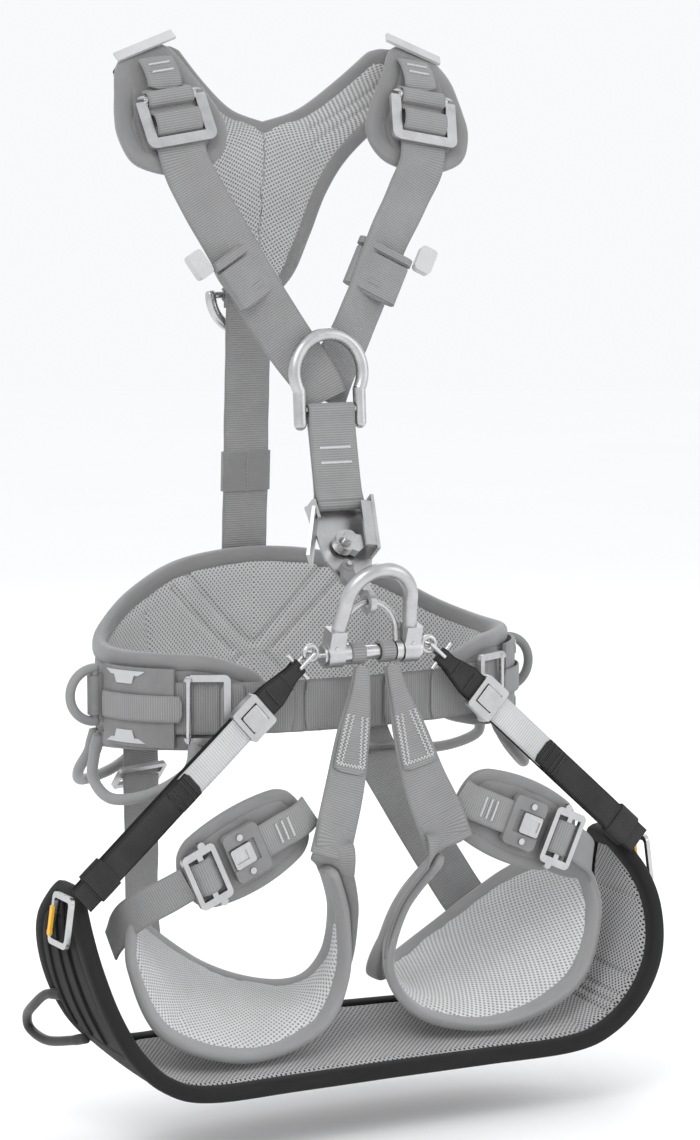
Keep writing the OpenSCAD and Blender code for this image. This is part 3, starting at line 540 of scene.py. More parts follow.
def webbing(name, low, high, pitch=0.0021, sheen=0.15, stripes=0.0):
    """Woven tape: ribs across the strap every pitch, finer yarns along it, a plain selvedge and slow dirt."""
    f = Finish(name, 0.82, **{"Sheen Weight": sheen, "Sheen Roughness": 0.6, "Specular IOR Level": 0.25})
    cloth = f.place("cloth")
    x, y, z = (f.put("ShaderNodeSeparateXYZ", k, _0=cloth) for k in (0, 1, 2))
    rib = f.math("SINE", f.math("MULTIPLY", x, TURN / pitch))
    yarn = f.math("SINE", f.math("MULTIPLY", y, TURN / (pitch * 0.55)))
    rib = f.math("MULTIPLY_ADD", rib, 0.5, 0.5)
    body = f.ramp(z, 0.0009, 0.0022)
    weave = f.math("MULTIPLY", f.math("MULTIPLY_ADD", yarn, 0.18, 0.82), f.math("POWER", rib, 0.7))
    weave = f.math("MULTIPLY", weave, f.math("MULTIPLY_ADD", body, 0.75, 0.25))
    fuzz = f.noise(cloth, 2600, 2.0)
    wear = f.noise(f.place("object"), 26, 4.0, 0.6)
    tone = f.math("MULTIPLY_ADD", weave, 0.62, f.math("MULTIPLY_ADD", wear, 0.55, f.math("MULTIPLY", fuzz, 0.2)))
    tone = f.math("SUBTRACT", tone, 0.32, clamp=True)
    if stripes:
        band = f.ramp(f.math("ABSOLUTE", f.math("SUBTRACT", f.math("ABSOLUTE", y), 0.011)), 0.0006, 0.0012, stripes, 0.0)
        tone = f.math("ADD", tone, band, clamp=True)
    return f.finish(f.blend(tone, grey(low), grey(high)), f.math("MULTIPLY_ADD", fuzz, 0.18, weave), 0.00045, 0.75)


def spacer_mesh(name, hole, yarn, pitch=0.0041, row=0.0047, sheen=0.2):
    """Knitted spacer mesh: round holes on a staggered grid, cos(x) * cos(y) above a level, in looped yarn."""
    f = Finish(name, 0.85, **{"Sheen Weight": sheen, "Specular IOR Level": 0.2})
    cloth = f.place("cloth")
    x, y = (f.put("ShaderNodeSeparateXYZ", k, _0=cloth) for k in (0, 1))
    lattice = f.math("MULTIPLY", f.math("COSINE", f.math("MULTIPLY", x, TURN / pitch)),
                     f.math("COSINE", f.math("MULTIPLY", y, TURN / row)))
    open_ = f.ramp(lattice, 0.18, 0.5)
    loops = f.math("MULTIPLY_ADD", f.math("SINE", f.math("MULTIPLY", f.math("ADD", x, y), TURN / 0.0009)), 0.5, 0.5)
    fuzz = f.noise(cloth, 1900, 2.0)
    wear = f.noise(f.place("object"), 22, 4.0, 0.6)
    tone = f.math("MULTIPLY_ADD", loops, 0.16, f.math("MULTIPLY_ADD", fuzz, 0.3, f.math("MULTIPLY", wear, 0.6)))
    tone = f.math("SUBTRACT", tone, 0.05, clamp=True)
    colour = f.blend(open_, f.blend(tone, grey(yarn * 0.72), grey(yarn * 1.15)), grey(hole))
    height = f.math("MULTIPLY_ADD", open_, -1.0, f.math("MULTIPLY_ADD", loops, 0.2, 1.0))
    return f.finish(colour, height, 0.0009, 0.8)


def cover_cloth(name, low, high, pitch=0.0011, sheen=0.3, rough=0.8):
    """Plain-woven cover cloth: over-and-under yarns, sin(x) * sin(y), with slubs and worn high spots."""
    f = Finish(name, rough, **{"Sheen Weight": sheen, "Sheen Roughness": 0.5, "Specular IOR Level": 0.3})
    cloth = f.place("cloth")
    x, y = (f.put("ShaderNodeSeparateXYZ", k, _0=cloth) for k in (0, 1))
    checker = f.math("MULTIPLY", f.math("SINE", f.math("MULTIPLY", x, TURN / pitch)),
                     f.math("SINE", f.math("MULTIPLY", y, TURN / pitch)))
    slub = f.noise(cloth, 900, 2.0, stretch=(1.0, 0.15, 1.0))
    wear = f.noise(f.place("object"), 30, 5.0, 0.6)
    tone = f.math("MULTIPLY_ADD", checker, 0.28, f.math("MULTIPLY_ADD", slub, 0.6, f.math("MULTIPLY", wear, 0.7)))
    tone = f.math("SUBTRACT", tone, 0.28, clamp=True)
    return f.finish(f.blend(tone, grey(low), grey(high)), f.math("MULTIPLY_ADD", checker, 0.5, slub), 0.0003, 0.7)


def tape(name, low, high, pitch=0.0014, sheen=0.35):
    """Folded edge tape: a fine twill, sin(x + y), with soft creases along it."""
    f = Finish(name, 0.78, **{"Sheen Weight": sheen, "Specular IOR Level": 0.3})
    cloth = f.place("cloth")
    x, y = (f.put("ShaderNodeSeparateXYZ", k, _0=cloth) for k in (0, 1))
    twill = f.math("SINE", f.math("MULTIPLY", f.math("ADD", x, y), TURN / pitch))
    crease = f.noise(cloth, 90, 4.0, stretch=(0.35, 1.6, 1.0))
    fuzz = f.noise(f.place("object"), 1500, 2.0)
    tone = f.math("MULTIPLY_ADD", twill, 0.16, f.math("MULTIPLY_ADD", crease, 0.7, f.math("MULTIPLY", fuzz, 0.3)))
    tone = f.math("SUBTRACT", tone, 0.1, clamp=True)
    return f.finish(f.blend(tone, grey(low), grey(high)), f.math("MULTIPLY_ADD", twill, 0.25, crease), 0.0006, 0.55)


def metal(name, low, high, rough=0.3, bright=1.0, grain=(1.0, 1.0, 1.0), sheet=0.0):
    """Polished or tumbled metal: cloudy tone, fine scratches that break the gloss, and a hammered unevenness."""
    f = Finish(name, rough, bright)
    place = f.place("object")
    cloud = f.noise(place, 60, 4.0, 0.6)
    scratch = f.noise(place, 900, 3.0, 0.7, stretch=grain)
    tone = f.math("MULTIPLY_ADD", scratch, 0.45, f.math("MULTIPLY", cloud, 0.7))
    dull = f.ramp(tone, 0.3, 0.85, rough * 0.75, min(1.0, rough * 1.5))
    height = f.math("MULTIPLY_ADD", scratch, 0.25, cloud)
    return f.finish(f.blend(f.ramp(tone, 0.3, 0.85), grey(low), grey(high)), height, 0.0002 + sheet, 0.25, dull)


def moulded(name, low, high, rough=0.55, colour=None, sheen=0.0):
    """Moulded plastic: a fine spark-eroded grain, slow shade changes and a few rubbed spots."""
    f = Finish(name, rough, **{"Specular IOR Level": 0.4, "Sheen Weight": sheen})
    place = f.place("object")
    grain = f.noise(place, 1400, 2.0)
    cloud = f.noise(place, 45, 4.0)
    rub = f.ramp(f.noise(place, 140, 5.0, 0.7), 0.58, 0.75)
    tone = f.math("MULTIPLY_ADD", cloud, 0.7, f.math("MULTIPLY_ADD", grain, 0.25, f.math("MULTIPLY", rub, 0.2)))
    a, b = (grey(low), grey(high)) if colour is None else (tuple(c * low for c in colour) + (1.0,), tuple(c * high for c in colour) + (1.0,))
    return f.finish(f.blend(tone, a, b), grain, 0.00015, 0.5, f.ramp(rub, 0.0, 1.0, rough, rough * 0.7))


GREY_WEB = webbing("grey ribbed webbing", 0.19, 0.36)
PALE_WEB = webbing("pale ribbed webbing", 0.42, 0.72, 0.0024)
BLACK_WEB = webbing("black ribbed webbing", 0.006, 0.085, 0.0017, sheen=0.04)
GREY_MESH = spacer_mesh("pale grey spacer mesh", 0.22, 0.60)
LEG_MESH = spacer_mesh("light spacer mesh", 0.30, 0.72, 0.0042, 0.0048)
SEAT_MESH = spacer_mesh("seat spacer mesh", 0.012, 0.50, 0.0046, 0.0052)
GREY_COVER = cover_cloth("grey cover cloth", 0.17, 0.30)
BLACK_COVER = cover_cloth("black ballistic cloth", 0.004, 0.040, 0.0013, sheen=0.03)
GREY_TAPE = tape("grey edge tape", 0.17, 0.29)
LEG_TAPE = tape("light edge tape", 0.24, 0.36)
BLACK_TAPE = tape("black edge tape", 0.004, 0.022, sheen=0.03)
GREY_THREAD = tape("grey sewing thread", 0.30, 0.45)
PALE_THREAD = tape("pale sewing thread", 0.55, 0.75)
BLACK_THREAD = tape("black sewing thread", 0.004, 0.02)
ALLOY = metal("forged aluminium", 0.40, 0.60, 0.32)
STEEL = metal("stainless steel", 0.42, 0.66, 0.24)
SHEET = metal("folded aluminium sheet", 0.40, 0.60, 0.34, grain=(1.0, 1.0, 0.12))
DARK_PLASTIC = moulded("dark grey moulding", 0.14, 0.27)
PALE_PLASTIC = moulded("pale moulding", 0.42, 0.60, 0.5)
GREY_RUBBER = moulded("grey tube", 0.20, 0.32, 0.6, sheen=0.2)
BLACK_RUBBER = moulded("black tube", 0.008, 0.03, 0.5, sheen=0.2)
YELLOW = moulded("yellow anodising", 0.75, 1.0, 0.32, colour=(0.95, 0.50, 0.02))
BOARD = moulded("stiffener board", 0.05, 0.12, 0.5)

# ---------- parts that keep their CAD shape ----------

KEPT = {
    "ventral_ring": ALLOY, "chest_ring": ALLOY, "ventral_bar": STEEL, "ventral_ring_screws": STEEL, "chest_link": STEEL,
    "waist_buckle_left": ALLOY, "waist_buckle_right": ALLOY, "waist_buckle_pins": STEEL,
    "shoulder_buckle_left": ALLOY, "shoulder_buckle_right": ALLOY, "shoulder_buckle_pins": STEEL,
    "leg_tongue_left": ALLOY, "leg_tongue_right": ALLOY, "leg_buckle_rivets": STEEL, "rear_leg_buckles": ALLOY,
    "leg_buckle_bodies": DARK_PLASTIC, "leg_latch_left": SHEET, "leg_latch_right": SHEET,
    "side_ring_left": GREY_RUBBER, "side_ring_right": DARK_PLASTIC, "side_ring_mounts": DARK_PLASTIC,
    "back_ring": STEEL, "back_ring_mount": DARK_PLASTIC, "waist_side_plates": DARK_PLASTIC,
    "shoulder_plates": PALE_PLASTIC, "keeper_tabs": PALE_PLASTIC, "ascender_frame": SHEET, "ascender_axles": STEEL,
    "ascender_cam": STEEL, "ascender_catch": DARK_PLASTIC, "seat_board": BOARD, "seat_hooks": STEEL,
    "seat_adjusters": ALLOY, "seat_adjuster_plate_left": ALLOY, "seat_adjuster_plate_right": ALLOY,
    "seat_connectors": STEEL, "seat_gate_left": YELLOW, "seat_gate_right": YELLOW,
}
for name, finish in KEPT.items():
    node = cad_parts[name]
    for k in range(max(1, len(node.material_slots))):
        if len(node.material_slots) == 0:
            node.data.materials.append(finish)
        else:
            node.material_slots[k].material = finish

# ---------- waist ----------

WAIST_MID, WAIST_POWER, BELT_Z, BELT_OFF, WEB_W, WEB_T = (183, 100, 125), 2 / 2.25, -44, 13.8, 45, 2.4
WAIST_END = 156
WAIST_TOP = [[0, 66], [20, 58], [40, 36], [60, 13], [80, 2], [100, 0], [120, 0], [138, -2], [150, -12], [156, -24]]
WAIST_BOTTOM = [[0, -104], [30, -102], [60, -94], [90, -84], [120, -80], [138, -78], [156, -68]]


def waist(a, off, z):
    """The waist outline, off millimetres outside it: half width * sin^p, half depth * cos^p, a degrees from the back."""
    a, off, z = np.broadcast_arrays(np.asarray(a, float), off, z)
    s, c = np.sin(np.radians(a)), np.cos(np.radians(a))
    return np.stack([(WAIST_MID[0] + off) * np.sign(s) * np.abs(s) ** WAIST_POWER,
                     WAIST_MID[2] + (WAIST_MID[1] + off) * np.sign(c) * np.abs(c) ** WAIST_POWER, z], -1)


def waist_skin(u, v, off):
    """The middle of the waist pad: u runs from its left front end round the back, v from its lower to its upper edge."""
    a = WAIST_END * (2 * np.asarray(u) - 1)
    low, high = along(WAIST_BOTTOM, np.abs(a)), along(WAIST_TOP, np.abs(a))
    return waist(a, 6 + off, low + (high - low) * v)


def waist_seams(u, v, s, t, side):
    """Pressed seams on the inner face: a V over the spine, its outer twin, and a seam down from each side."""
    a = WAIST_END * (2 * u - 1)
    low, high = along(WAIST_BOTTOM, np.abs(a)), along(WAIST_TOP, np.abs(a))
    x, z = 3.6 * np.abs(a), low + (high - low) * v
    inner = groove(from_line(x, z, (66, 46), (2, -20)), 3.2, 3.2) + groove(from_line(x, z, (86, 34), (18, -26)), 3.2, 3.2)
    lower = groove(from_line(x, z, (10, -32), (60, -84)), 3.0, 2.4) + groove(from_line(x, z, (128, 14), (112, -78)), 3.4, 2.0)
    outer = groove(np.abs(z - 26), 2.0, 1.4) * (x < 150)
    return np.where(side < 0, inner + lower, outer)


WAIST_SIZE = (790, 120)
pad("waist_back_pad", waist_skin, WAIST_SIZE, 8.6, "harness", ["waist_pad", "waist_lining"],
    (GREY_COVER, GREY_MESH), rim=16, voxel=3.6, reach=1.8, seams=waist_seams)
v, faces, cloth = binding_part(waist_skin, outline_loop(waist_skin, WAIST_SIZE, 5.5, 12, 700), 15, 12.4)
o = piece("waist_binding", v, faces, GREY_TAPE, cloth=cloth)
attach(o, "harness")

belt = []
a = np.linspace(-180, 180, 420, endpoint=False)
front = np.clip((np.abs(a) - 128) / 14, 0, 1) * (np.abs(a) > 128)
ripple = front * (0.7 * np.sin(a * 1.1) + 0.5 * np.sin(a * 2.7 + 1))
path = waist(a, BELT_OFF + ripple, BELT_Z)
up = unit(waist(a, BELT_OFF + 5, BELT_Z) - waist(a, BELT_OFF, BELT_Z))
side = unit(np.cross(up, heading(path, True)))
belt.append(swept(path, side, up, web_outline(WEB_W, WEB_T, 9), loop=True))
for low, high, off in ((-178, -166, 2.6), (-163, -148, 2.5), (167, 176, 2.7), (150, 163, 2.5), (-150, -143, 4.8)):
    a = np.linspace(low, high, 26)
    path = waist(a, BELT_OFF + off, BELT_Z)
    up = unit(waist(a, BELT_OFF + 5, BELT_Z) - waist(a, BELT_OFF, BELT_Z))
    belt.append(swept(path, unit(np.cross(up, heading(path))), up, web_outline(WEB_W - 1, 2.0), round_ends=3))
v, faces, cloth = joined(belt)
o = piece("waist_webbing", v, faces, GREY_WEB, cloth=cloth, crease=50)
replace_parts(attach(o, "harness"), "waist_belt")


def tubes(name, curves, r, up, finish, body, nodes, sleeve=0.0):
    """Bent tubes as one piece. sleeve thickens the first and last part of each one."""
    parts = []
    for c in curves:
        p = even(smooth(c, 14), 2.0)
        s = run_length(p)
        d = np.minimum(s, s[-1] - s)
        wide = 1 + sleeve * (1 / (1 + np.exp((d - 16) / 0.8)))
        parts.append(tube_part(c, r, up, 16, 2.0, wide=wide, deep=wide, round_ends=1.5))
    v, faces, cloth = joined(parts)
    o = piece(name, v, faces, finish, cloth=cloth)
    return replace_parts(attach(o, body), *nodes)


FRONT_LOOP = [[147, 41, -70], [151, 36, -86], [161, 34, -99], [184, 52, -116], [203, 88, -124], [206, 120, -112],
              [200, 131, -92], [195, 130, -74]]
REAR_LOOP = [[190, 150, -73], [196, 152, -93], [200, 166, -112], [180, 204, -128], [140, 230, -126], [112, 240, -113],
             [94, 242, -98], [82, 237, -76]]
tubes("waist_gear_tubes", [FRONT_LOOP, flip_x(FRONT_LOOP), REAR_LOOP, flip_x(REAR_LOOP)], 4.9, [1, 0, 0],
      GREY_RUBBER, "harness", ["waist_gear_loops"], 0.14)

# ---------- leg loops ----------

LEG_FRONT = [[226, 4, -212], [230, -6, -252], [203, -14, -310], [128, -14, -339], [52, -4, -327],
             [17, 6, -284], [20, -8, -224], [42, -30, -178]]
LEG_REAR = [[204, 50, -204], [180, 94, -234], [112, 114, -284], [62, 98, -303], [34, 66, -296],
            [22, 34, -262], [26, 10, -216], [48, -16, -174]]
LEG_SIZE = (520, 95)


def leg_skin(sign):
    """The middle of a leg pad: u runs from its outer end under the thigh to its inner end, v from front to rear edge,
    with a bow of 40 v (1 - v) towards the thigh."""
    def skin(u, v, off):
        front, rear = on_curve(LEG_FRONT, u), on_curve(LEG_REAR, u)
        u = np.asarray(u)
        ahead = on_curve(LEG_FRONT, np.minimum(u + 0.01, 1)) - on_curve(LEG_FRONT, np.maximum(u - 0.01, 0))
        out = unit(np.cross(rear - front, ahead))
        v = np.asarray(v)[..., None]
        p = front * (1 - v) + rear * v + out * (40 * v * (1 - v) - np.asarray(off)[..., None])
        return p * [sign, 1, 1]
    return skin


def leg_seams(u, v, s, t, side):
    """Short darts pressed into the lining near the inner bend, and a line along the cover."""
    inner = groove(from_line(s, t, (300, -22), (345, 0)), 2.0, 1.6) + groove(from_line(s, t, (285, -10), (330, 12)), 2.0, 1.6)
    return np.where(side < 0, inner, groove(np.abs(t), 2.2, 1.4))


for word, sign in (("left", -1), ("right", 1)):
    skin = leg_skin(sign)
    pad("leg_loop_pad_" + word, skin, LEG_SIZE, 7.0, "harness", ["leg_pads", "leg_linings"],
        (GREY_COVER, LEG_MESH), rim=12, voxel=3.2, reach=1.2, seams=leg_seams, lined=0.86)
    v, faces, cloth = binding_part(skin, outline_loop(skin, LEG_SIZE, 6.5, 14, 520), 17, 9.6)
    o = piece("leg_loop_binding_" + word, v, faces, LEG_TAPE, cloth=cloth)
    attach(o, "harness")

# ---------- back yoke and shoulders ----------

YOKE_INNER = [[0, 225, 290], [0, 220, 320], [0, 213, 366], [0, 206, 414], [0, 203, 449], [34, 199, 460],
              [66, 190, 484], [98, 178, 514]]
YOKE_OUTER = [[12, 225, 288], [36, 220, 314], [50, 213, 350], [62, 204, 388], [80, 195, 420], [112, 183, 452],
              [148, 172, 476], [160, 168, 494]]


def yoke_skin(u, v, off):
    """The middle of the whole yoke: u from the left shoulder through its foot to the right one, v from edge to edge."""
    u, v, off = np.broadcast_arrays(np.asarray(u, float), v, off)
    w = np.clip(1 - np.abs(2 * u - 1), 0, 1)
    inner, outer = on_curve(YOKE_INNER, 1 - w), on_curve(YOKE_OUTER, 1 - w)
    p = inner + (outer - inner) * v[..., None]
    return p * np.stack([np.where(u < 0.5, -1.0, 1.0), np.ones_like(u), np.ones_like(u)], -1) + off[..., None] * np.array([0, 1.0, 0])


def yoke_half(sign, thick, margin):
    """One side of the yoke as a slab that thins towards its free edges."""
    u, v = np.meshgrid(np.linspace(0.02, 0.985, 90), np.linspace(0, 1, 26), indexing="ij")
    inner, outer = on_curve(YOKE_INNER, u), on_curve(YOKE_OUTER, u)
    across = np.linalg.norm(outer - inner, axis=-1)
    free = np.clip((u - 4 / 7) * 12, 0, 1)
    v = np.clip(v, margin * free / across, 1 - margin / across)
    end = (0.985 - u) * 260
    d = np.minimum(np.minimum(np.where(free > 0, v * across - margin * free, 50), (1 - v) * across - margin), end)
    h = thick / 2 * np.sqrt(np.clip(1 - (1 - np.clip(d / 10, 0, 1)) ** 2, 0.09, 1))
    p = inner + (outer - inner) * v[..., None]
    top, low = p + h[..., None] * [0, 1, 0], p - h[..., None] * [0, 1, 0]
    top[..., 0] -= (1 - free) * 0.5 * (v < 0.02)
    low[..., 0] -= (1 - free) * 0.5 * (v < 0.02)
    ring = np.concatenate([top, low[:, ::-1]], 1) * [sign, 1, 1]
    n, m = ring.shape[:2]
    k = np.arange(25)
    ends = np.stack([k, k + 1, m - 2 - k, m - 1 - k], 1)
    return ring.reshape(-1, 3), [net(n, m, wrap_cols=True), ends, ends[:, ::-1] + (n - 1) * m], None


def yoke_seams(u, v, s, t, side):
    """Two darts on each arm, along the arm, pressed into the inner face; the cover is left plain."""
    w = np.abs(2 * u - 1)
    darts = groove(np.abs(v - 0.42) * 70, 2.4, 1.8) * (w > 0.62) * (w < 0.9)
    darts = darts + groove(np.abs(v - 0.62) * 70, 2.4, 1.8) * (w > 0.55) * (w < 0.8)
    return np.where(side < 0, darts, 0)


def yoke_solid(sign):
    """yoke_half with its faces outward on either side."""
    v, faces, _ = yoke_half(sign, 7.0, 4)
    return v, faces if sign > 0 else [np.asarray(f)[:, ::-1] for f in faces], None


pad("back_yoke_pad", yoke_skin, (600, 70), 7.0, "harness", ["back_yoke"], (GREY_COVER, GREY_MESH),
    voxel=3.4, reach=1.2, seams=yoke_seams, parts=[yoke_solid(1), yoke_solid(-1)])


def yoke_edge():
    """The yoke's outline as one closed line: out along one arm, round its end, in along its top and back again."""
    outer, inner = smooth(YOKE_OUTER, 14), smooth(YOKE_INNER[4:], 14)
    tip, root, bulge = outer[-1], inner[-1], [0, -1, 5]
    end = np.array([tip, (tip * 2 + root) / 3 + bulge, (tip + 2 * root) / 3 + bulge, root])
    right = np.vstack([outer[3:-2], smooth(end, 6)[2:-2], inner[::-1][2:]])
    left = flip_x(right)[::-1]
    p = np.vstack([right, left[1:]])
    return even(np.vstack([p, p[:1]]), 3.0)[:-1]


path = yoke_edge()
normal = np.broadcast_to(unit(np.array([0, 1.0, 0.12])), path.shape)
side = unit(np.cross(heading(path, True), normal))
centre = path - side * 5.5 * np.sign(np.einsum("ij,ij->i", side, path - path.mean(0)).mean())
a = np.linspace(0, 2 * np.pi, 14, endpoint=False)
ring = np.c_[np.sign(np.cos(a)) * np.abs(np.cos(a)) ** 0.8 * 7.2, np.sign(np.sin(a)) * np.abs(np.sin(a)) ** 0.55 * 4.9]
v, faces, cloth = swept(centre, side, np.cross(side, heading(centre, True)), ring, loop=True)
o = piece("back_yoke_binding", v, faces, GREY_TAPE, cloth=np.c_[cloth[:, 0], np.tile(run_length(ring), len(path)), cloth[:, 2]])
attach(o, "harness")


def shoulder_skin(sign):
    """The middle of a shoulder pad: u from the top of the shoulder down the chest, v from its inner to its outer edge."""
    inner_edge = [[104, 176, 519], [99, 160, 496], [80, 147, 466], [70, 139, 442], [80, 132, 422], [106, 128, 410]]
    outer_edge = [[161, 172, 497], [164, 157, 478], [169, 147, 455], [170, 139, 438], [162, 132, 419], [144, 128, 410]]

    def skin(u, v, off):
        inner, outer = on_curve(inner_edge, u), on_curve(outer_edge, u)
        u = np.asarray(u)
        ahead = on_curve(inner_edge, np.minimum(u + 0.02, 1)) - on_curve(inner_edge, np.maximum(u - 0.02, 0))
        out = unit(np.cross(ahead, outer - inner))
        v = np.asarray(v)[..., None]
        return (inner * (1 - v) + outer * v + out * (3.5 + np.asarray(off)[..., None])) * [sign, 1, 1]
    return skin


def placed(p, spot, *turns):
    """Local points turned by each (x, y, z) set of angles in turn and moved to spot."""
    p = np.asarray(p, float)
    for x, y, z in turns:
        p = turned(p, x, y, z)
    return p + np.asarray(spot, float)


def on_shoulder(p):
    """From the shoulder buckle's own frame: x across, y towards the pad, z up the pad."""
    return placed(p, (121, 126, 453), (-22, 0, 0), (0, 9, 0))


def web_run(points, across, frame_of, sign, width, thick=WEB_T, **more):
    """A strap through local points, its width along the local direction across."""
    p = frame_of(np.asarray(points, float)) * [sign, 1, 1]
    w = (frame_of(np.asarray(across, float)[None]) - frame_of(np.zeros((1, 3)))) * [sign, 1, 1]
    return strap_part([(q, w[0]) for q in p], width, thick, **more)


SIDES = (("left", -1), ("right", 1))
for word, sign in SIDES:
    skin = shoulder_skin(sign)
    pad("shoulder_pad_" + word, skin, (128, 85), 6.0, "harness", ["shoulder_pads"],
        (GREY_COVER, GREY_MESH), margin=5, rim=9, voxel=2.6, reach=0.9,
        seams=lambda u, v, s, t, side: np.where(side > 0, groove(np.abs(np.minimum(v, 1 - v) * 85 - 15), 1.6, 1.0), 0))
    v, faces, cloth = binding_part(skin, outline_loop(skin, (128, 85), 7, 22, 260), 17, 8.2)
    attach(piece("shoulder_rim_" + word, v, faces, GREY_TAPE, cloth=cloth), "harness")

    roll = web_run([(0, 4.5, 30), (0, 3.2, 27), (0, -2.5, 25.6), (0, -4.6, 20), (0, -2.8, 14.5), (0, 2.2, 12.6), (0, 3.2, 9)],
                   (1, 0, 0), on_shoulder, sign, 43, 1.8, step=1.2)
    lower = web_run([(0, 2.6, 10), (0, 0.5, 7), (0, -5.2, 4), (0, -5.8, -4), (0, -3.0, -10.5), (0, 2.4, -13), (0, 4.0, -15)],
                    (1, 0, 0), on_shoulder, sign, 43, 1.8, step=1.2)
    patch = web_run([(0, 1.0, 28), (-1, 0.2, 38), (-2, 3.6, 50), (-3, 10.5, 61)], (1, 0, 0), on_shoulder, sign, 32, 2.0,
                    round_ends=2)
    v, faces, cloth = joined([roll, lower, patch])
    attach(piece("shoulder_rolls_" + word, v, faces, GREY_WEB, cloth=cloth, crease=50), "harness")
    bars = [zigzag(*[(on_shoulder(np.array([q])) * [sign, 1, 1])[0] for q in ((-12, y, z), (8, y, z))],
                   [0, -0.35, 0.93], [0, -0.93, -0.35], 2.4, 0.7) for y, z in ((-0.6, 44), (2.6, 52))]
    v, faces, _ = joined(bars)
    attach(piece("shoulder_tacks_" + word, v, faces, PALE_THREAD), "harness")

CHEST_SIDE = [
    [[120, 126.6, 447], [1, 0, -0.15]], [[116, 118.5, 416], [1, 0, -0.25]], [[101, 117, 386], [1, 0.1, -0.4]],
    [[77, 112, 345], [1, 0.2, -0.5]], [[52, 102, 298], [1, 0.25, -0.5]], [[28, 93, 258], [1, 0.2, -0.6]],
    [[9, 86, 230], [1, 0, -0.4]], [[0, 82, 210], [1, 0, -0.2]]]


def on_keeper(p):
    """From a strap keeper's own frame: x across the strap, y towards the body, z up the strap."""
    return placed(p, (64, 106, 320), (-13, 0, -14), (0, 28, 0))


for word, sign in SIDES:
    back = 5.4 if sign > 0 else 0.0
    stations = [(np.array([q[0] * sign, q[1] + back * max(0, k - 2) / 5, q[2]]), np.array([sign * w[0], w[1], w[2]]))
                for k, (q, w) in enumerate(CHEST_SIDE)]
    v, faces, cloth = strap_part(stations, WEB_W, WEB_T, wave=0.5, turn=sign)
    o = piece("chest_webbing_" + word, v, faces, GREY_WEB, cloth=cloth, crease=50)
    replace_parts(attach(o, "harness"), "shoulder_straps")

    def column(low, high, width, thick, x=0.0, y=0.0, step=2.0, belly=0.0):
        z = np.arange(low, high + 0.1, step)
        p = on_keeper(np.c_[np.full(len(z), x), np.full(len(z), y), z])
        side = np.broadcast_to(on_keeper([[1, 0, 0]]) - on_keeper([[0, 0, 0]]), p.shape)
        up = np.broadcast_to(on_keeper([[0, -1, 0]]) - on_keeper([[0, 0, 0]]), p.shape)
        grow = 1 + belly * np.sin(np.pi * (z - low) / (high - low))
        v, faces, cloth = swept(p, side, up, web_outline(width, thick, 9, 5), deep=grow, round_ends=1.6)
        return v * [sign, 1, 1], [np.asarray(f)[..., ::-1] for f in faces] if sign < 0 else faces, cloth
    v, faces, cloth = joined([column(-25, 16, 51, 9.5, belly=0.12), column(14.5, 25, 53, 11.2),
                              column(-17, -9, 20, 10.9, belly=0.1)])
    o = piece("strap_keeper_" + word, v, faces, GREY_WEB, cloth=cloth, crease=60)
    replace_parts(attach(o, "harness"), "strap_keepers")

# ---------- back strap, chest strap ----------

BACK_LINE = [[[0, 222.5, 344], [1, 0, 0]], [[0, 231.5, 290], [1, 0, 0]], [[0, 236, 210], [1, 0, 0]],
             [[0, 239.5, 130], [1, 0, 0]], [[0, 243, 60], [1, 0, 0]], [[0, 243, -14], [1, 0, 0]]]
v, faces, cloth = strap_part(BACK_LINE, WEB_W, WEB_T, wave=0.5)
o = piece("back_webbing", v, faces, GREY_WEB, cloth=cloth, crease=50)
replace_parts(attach(o, "harness"), "back_strap")

sleeve = [strap_part([(placed(q, (0, 239.4, 136), (3, 0, 0)), [1, 0, 0]) for q in ((0, 0, -20), (0, 0, 0), (0, 0, 20))],
                     49, 7.6, round_ends=1.5, step=2)]
seam = np.array([placed((0, y, z), (0, 239.4, 136), (3, 0, 0))
                 for y in (-3.9, 3.9) for z in np.linspace(-19, 19, 12)])
v, faces, cloth = joined(sleeve)
o = piece("back_sleeve", v, faces, GREY_COVER, cloth=cloth, crease=50)
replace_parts(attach(o, "harness"), "back_strap_sleeve")
v, faces, _ = joined([stitch_line(seam[:12], np.array([0, -1.0, 0])), stitch_line(seam[12:], np.array([0, 1.0, 0]))])
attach(piece("back_sleeve_stitches", v, faces, GREY_THREAD), "harness")

CHEST_BAR, CLIMB_TOP = np.array([0, 74.0, 203]), np.array([0, 57.0, 122])
drop = float(np.linalg.norm(CHEST_BAR - CLIMB_TOP))
lean = math.degrees(math.atan2(CHEST_BAR[1] - CLIMB_TOP[1], CHEST_BAR[2] - CLIMB_TOP[2]))


def on_chest_strap(p):
    """From the chest strap's own frame: z runs from the ascender's bar up to the chest ring's."""
    return placed(p, CLIMB_TOP, (-lean, 0, 0))


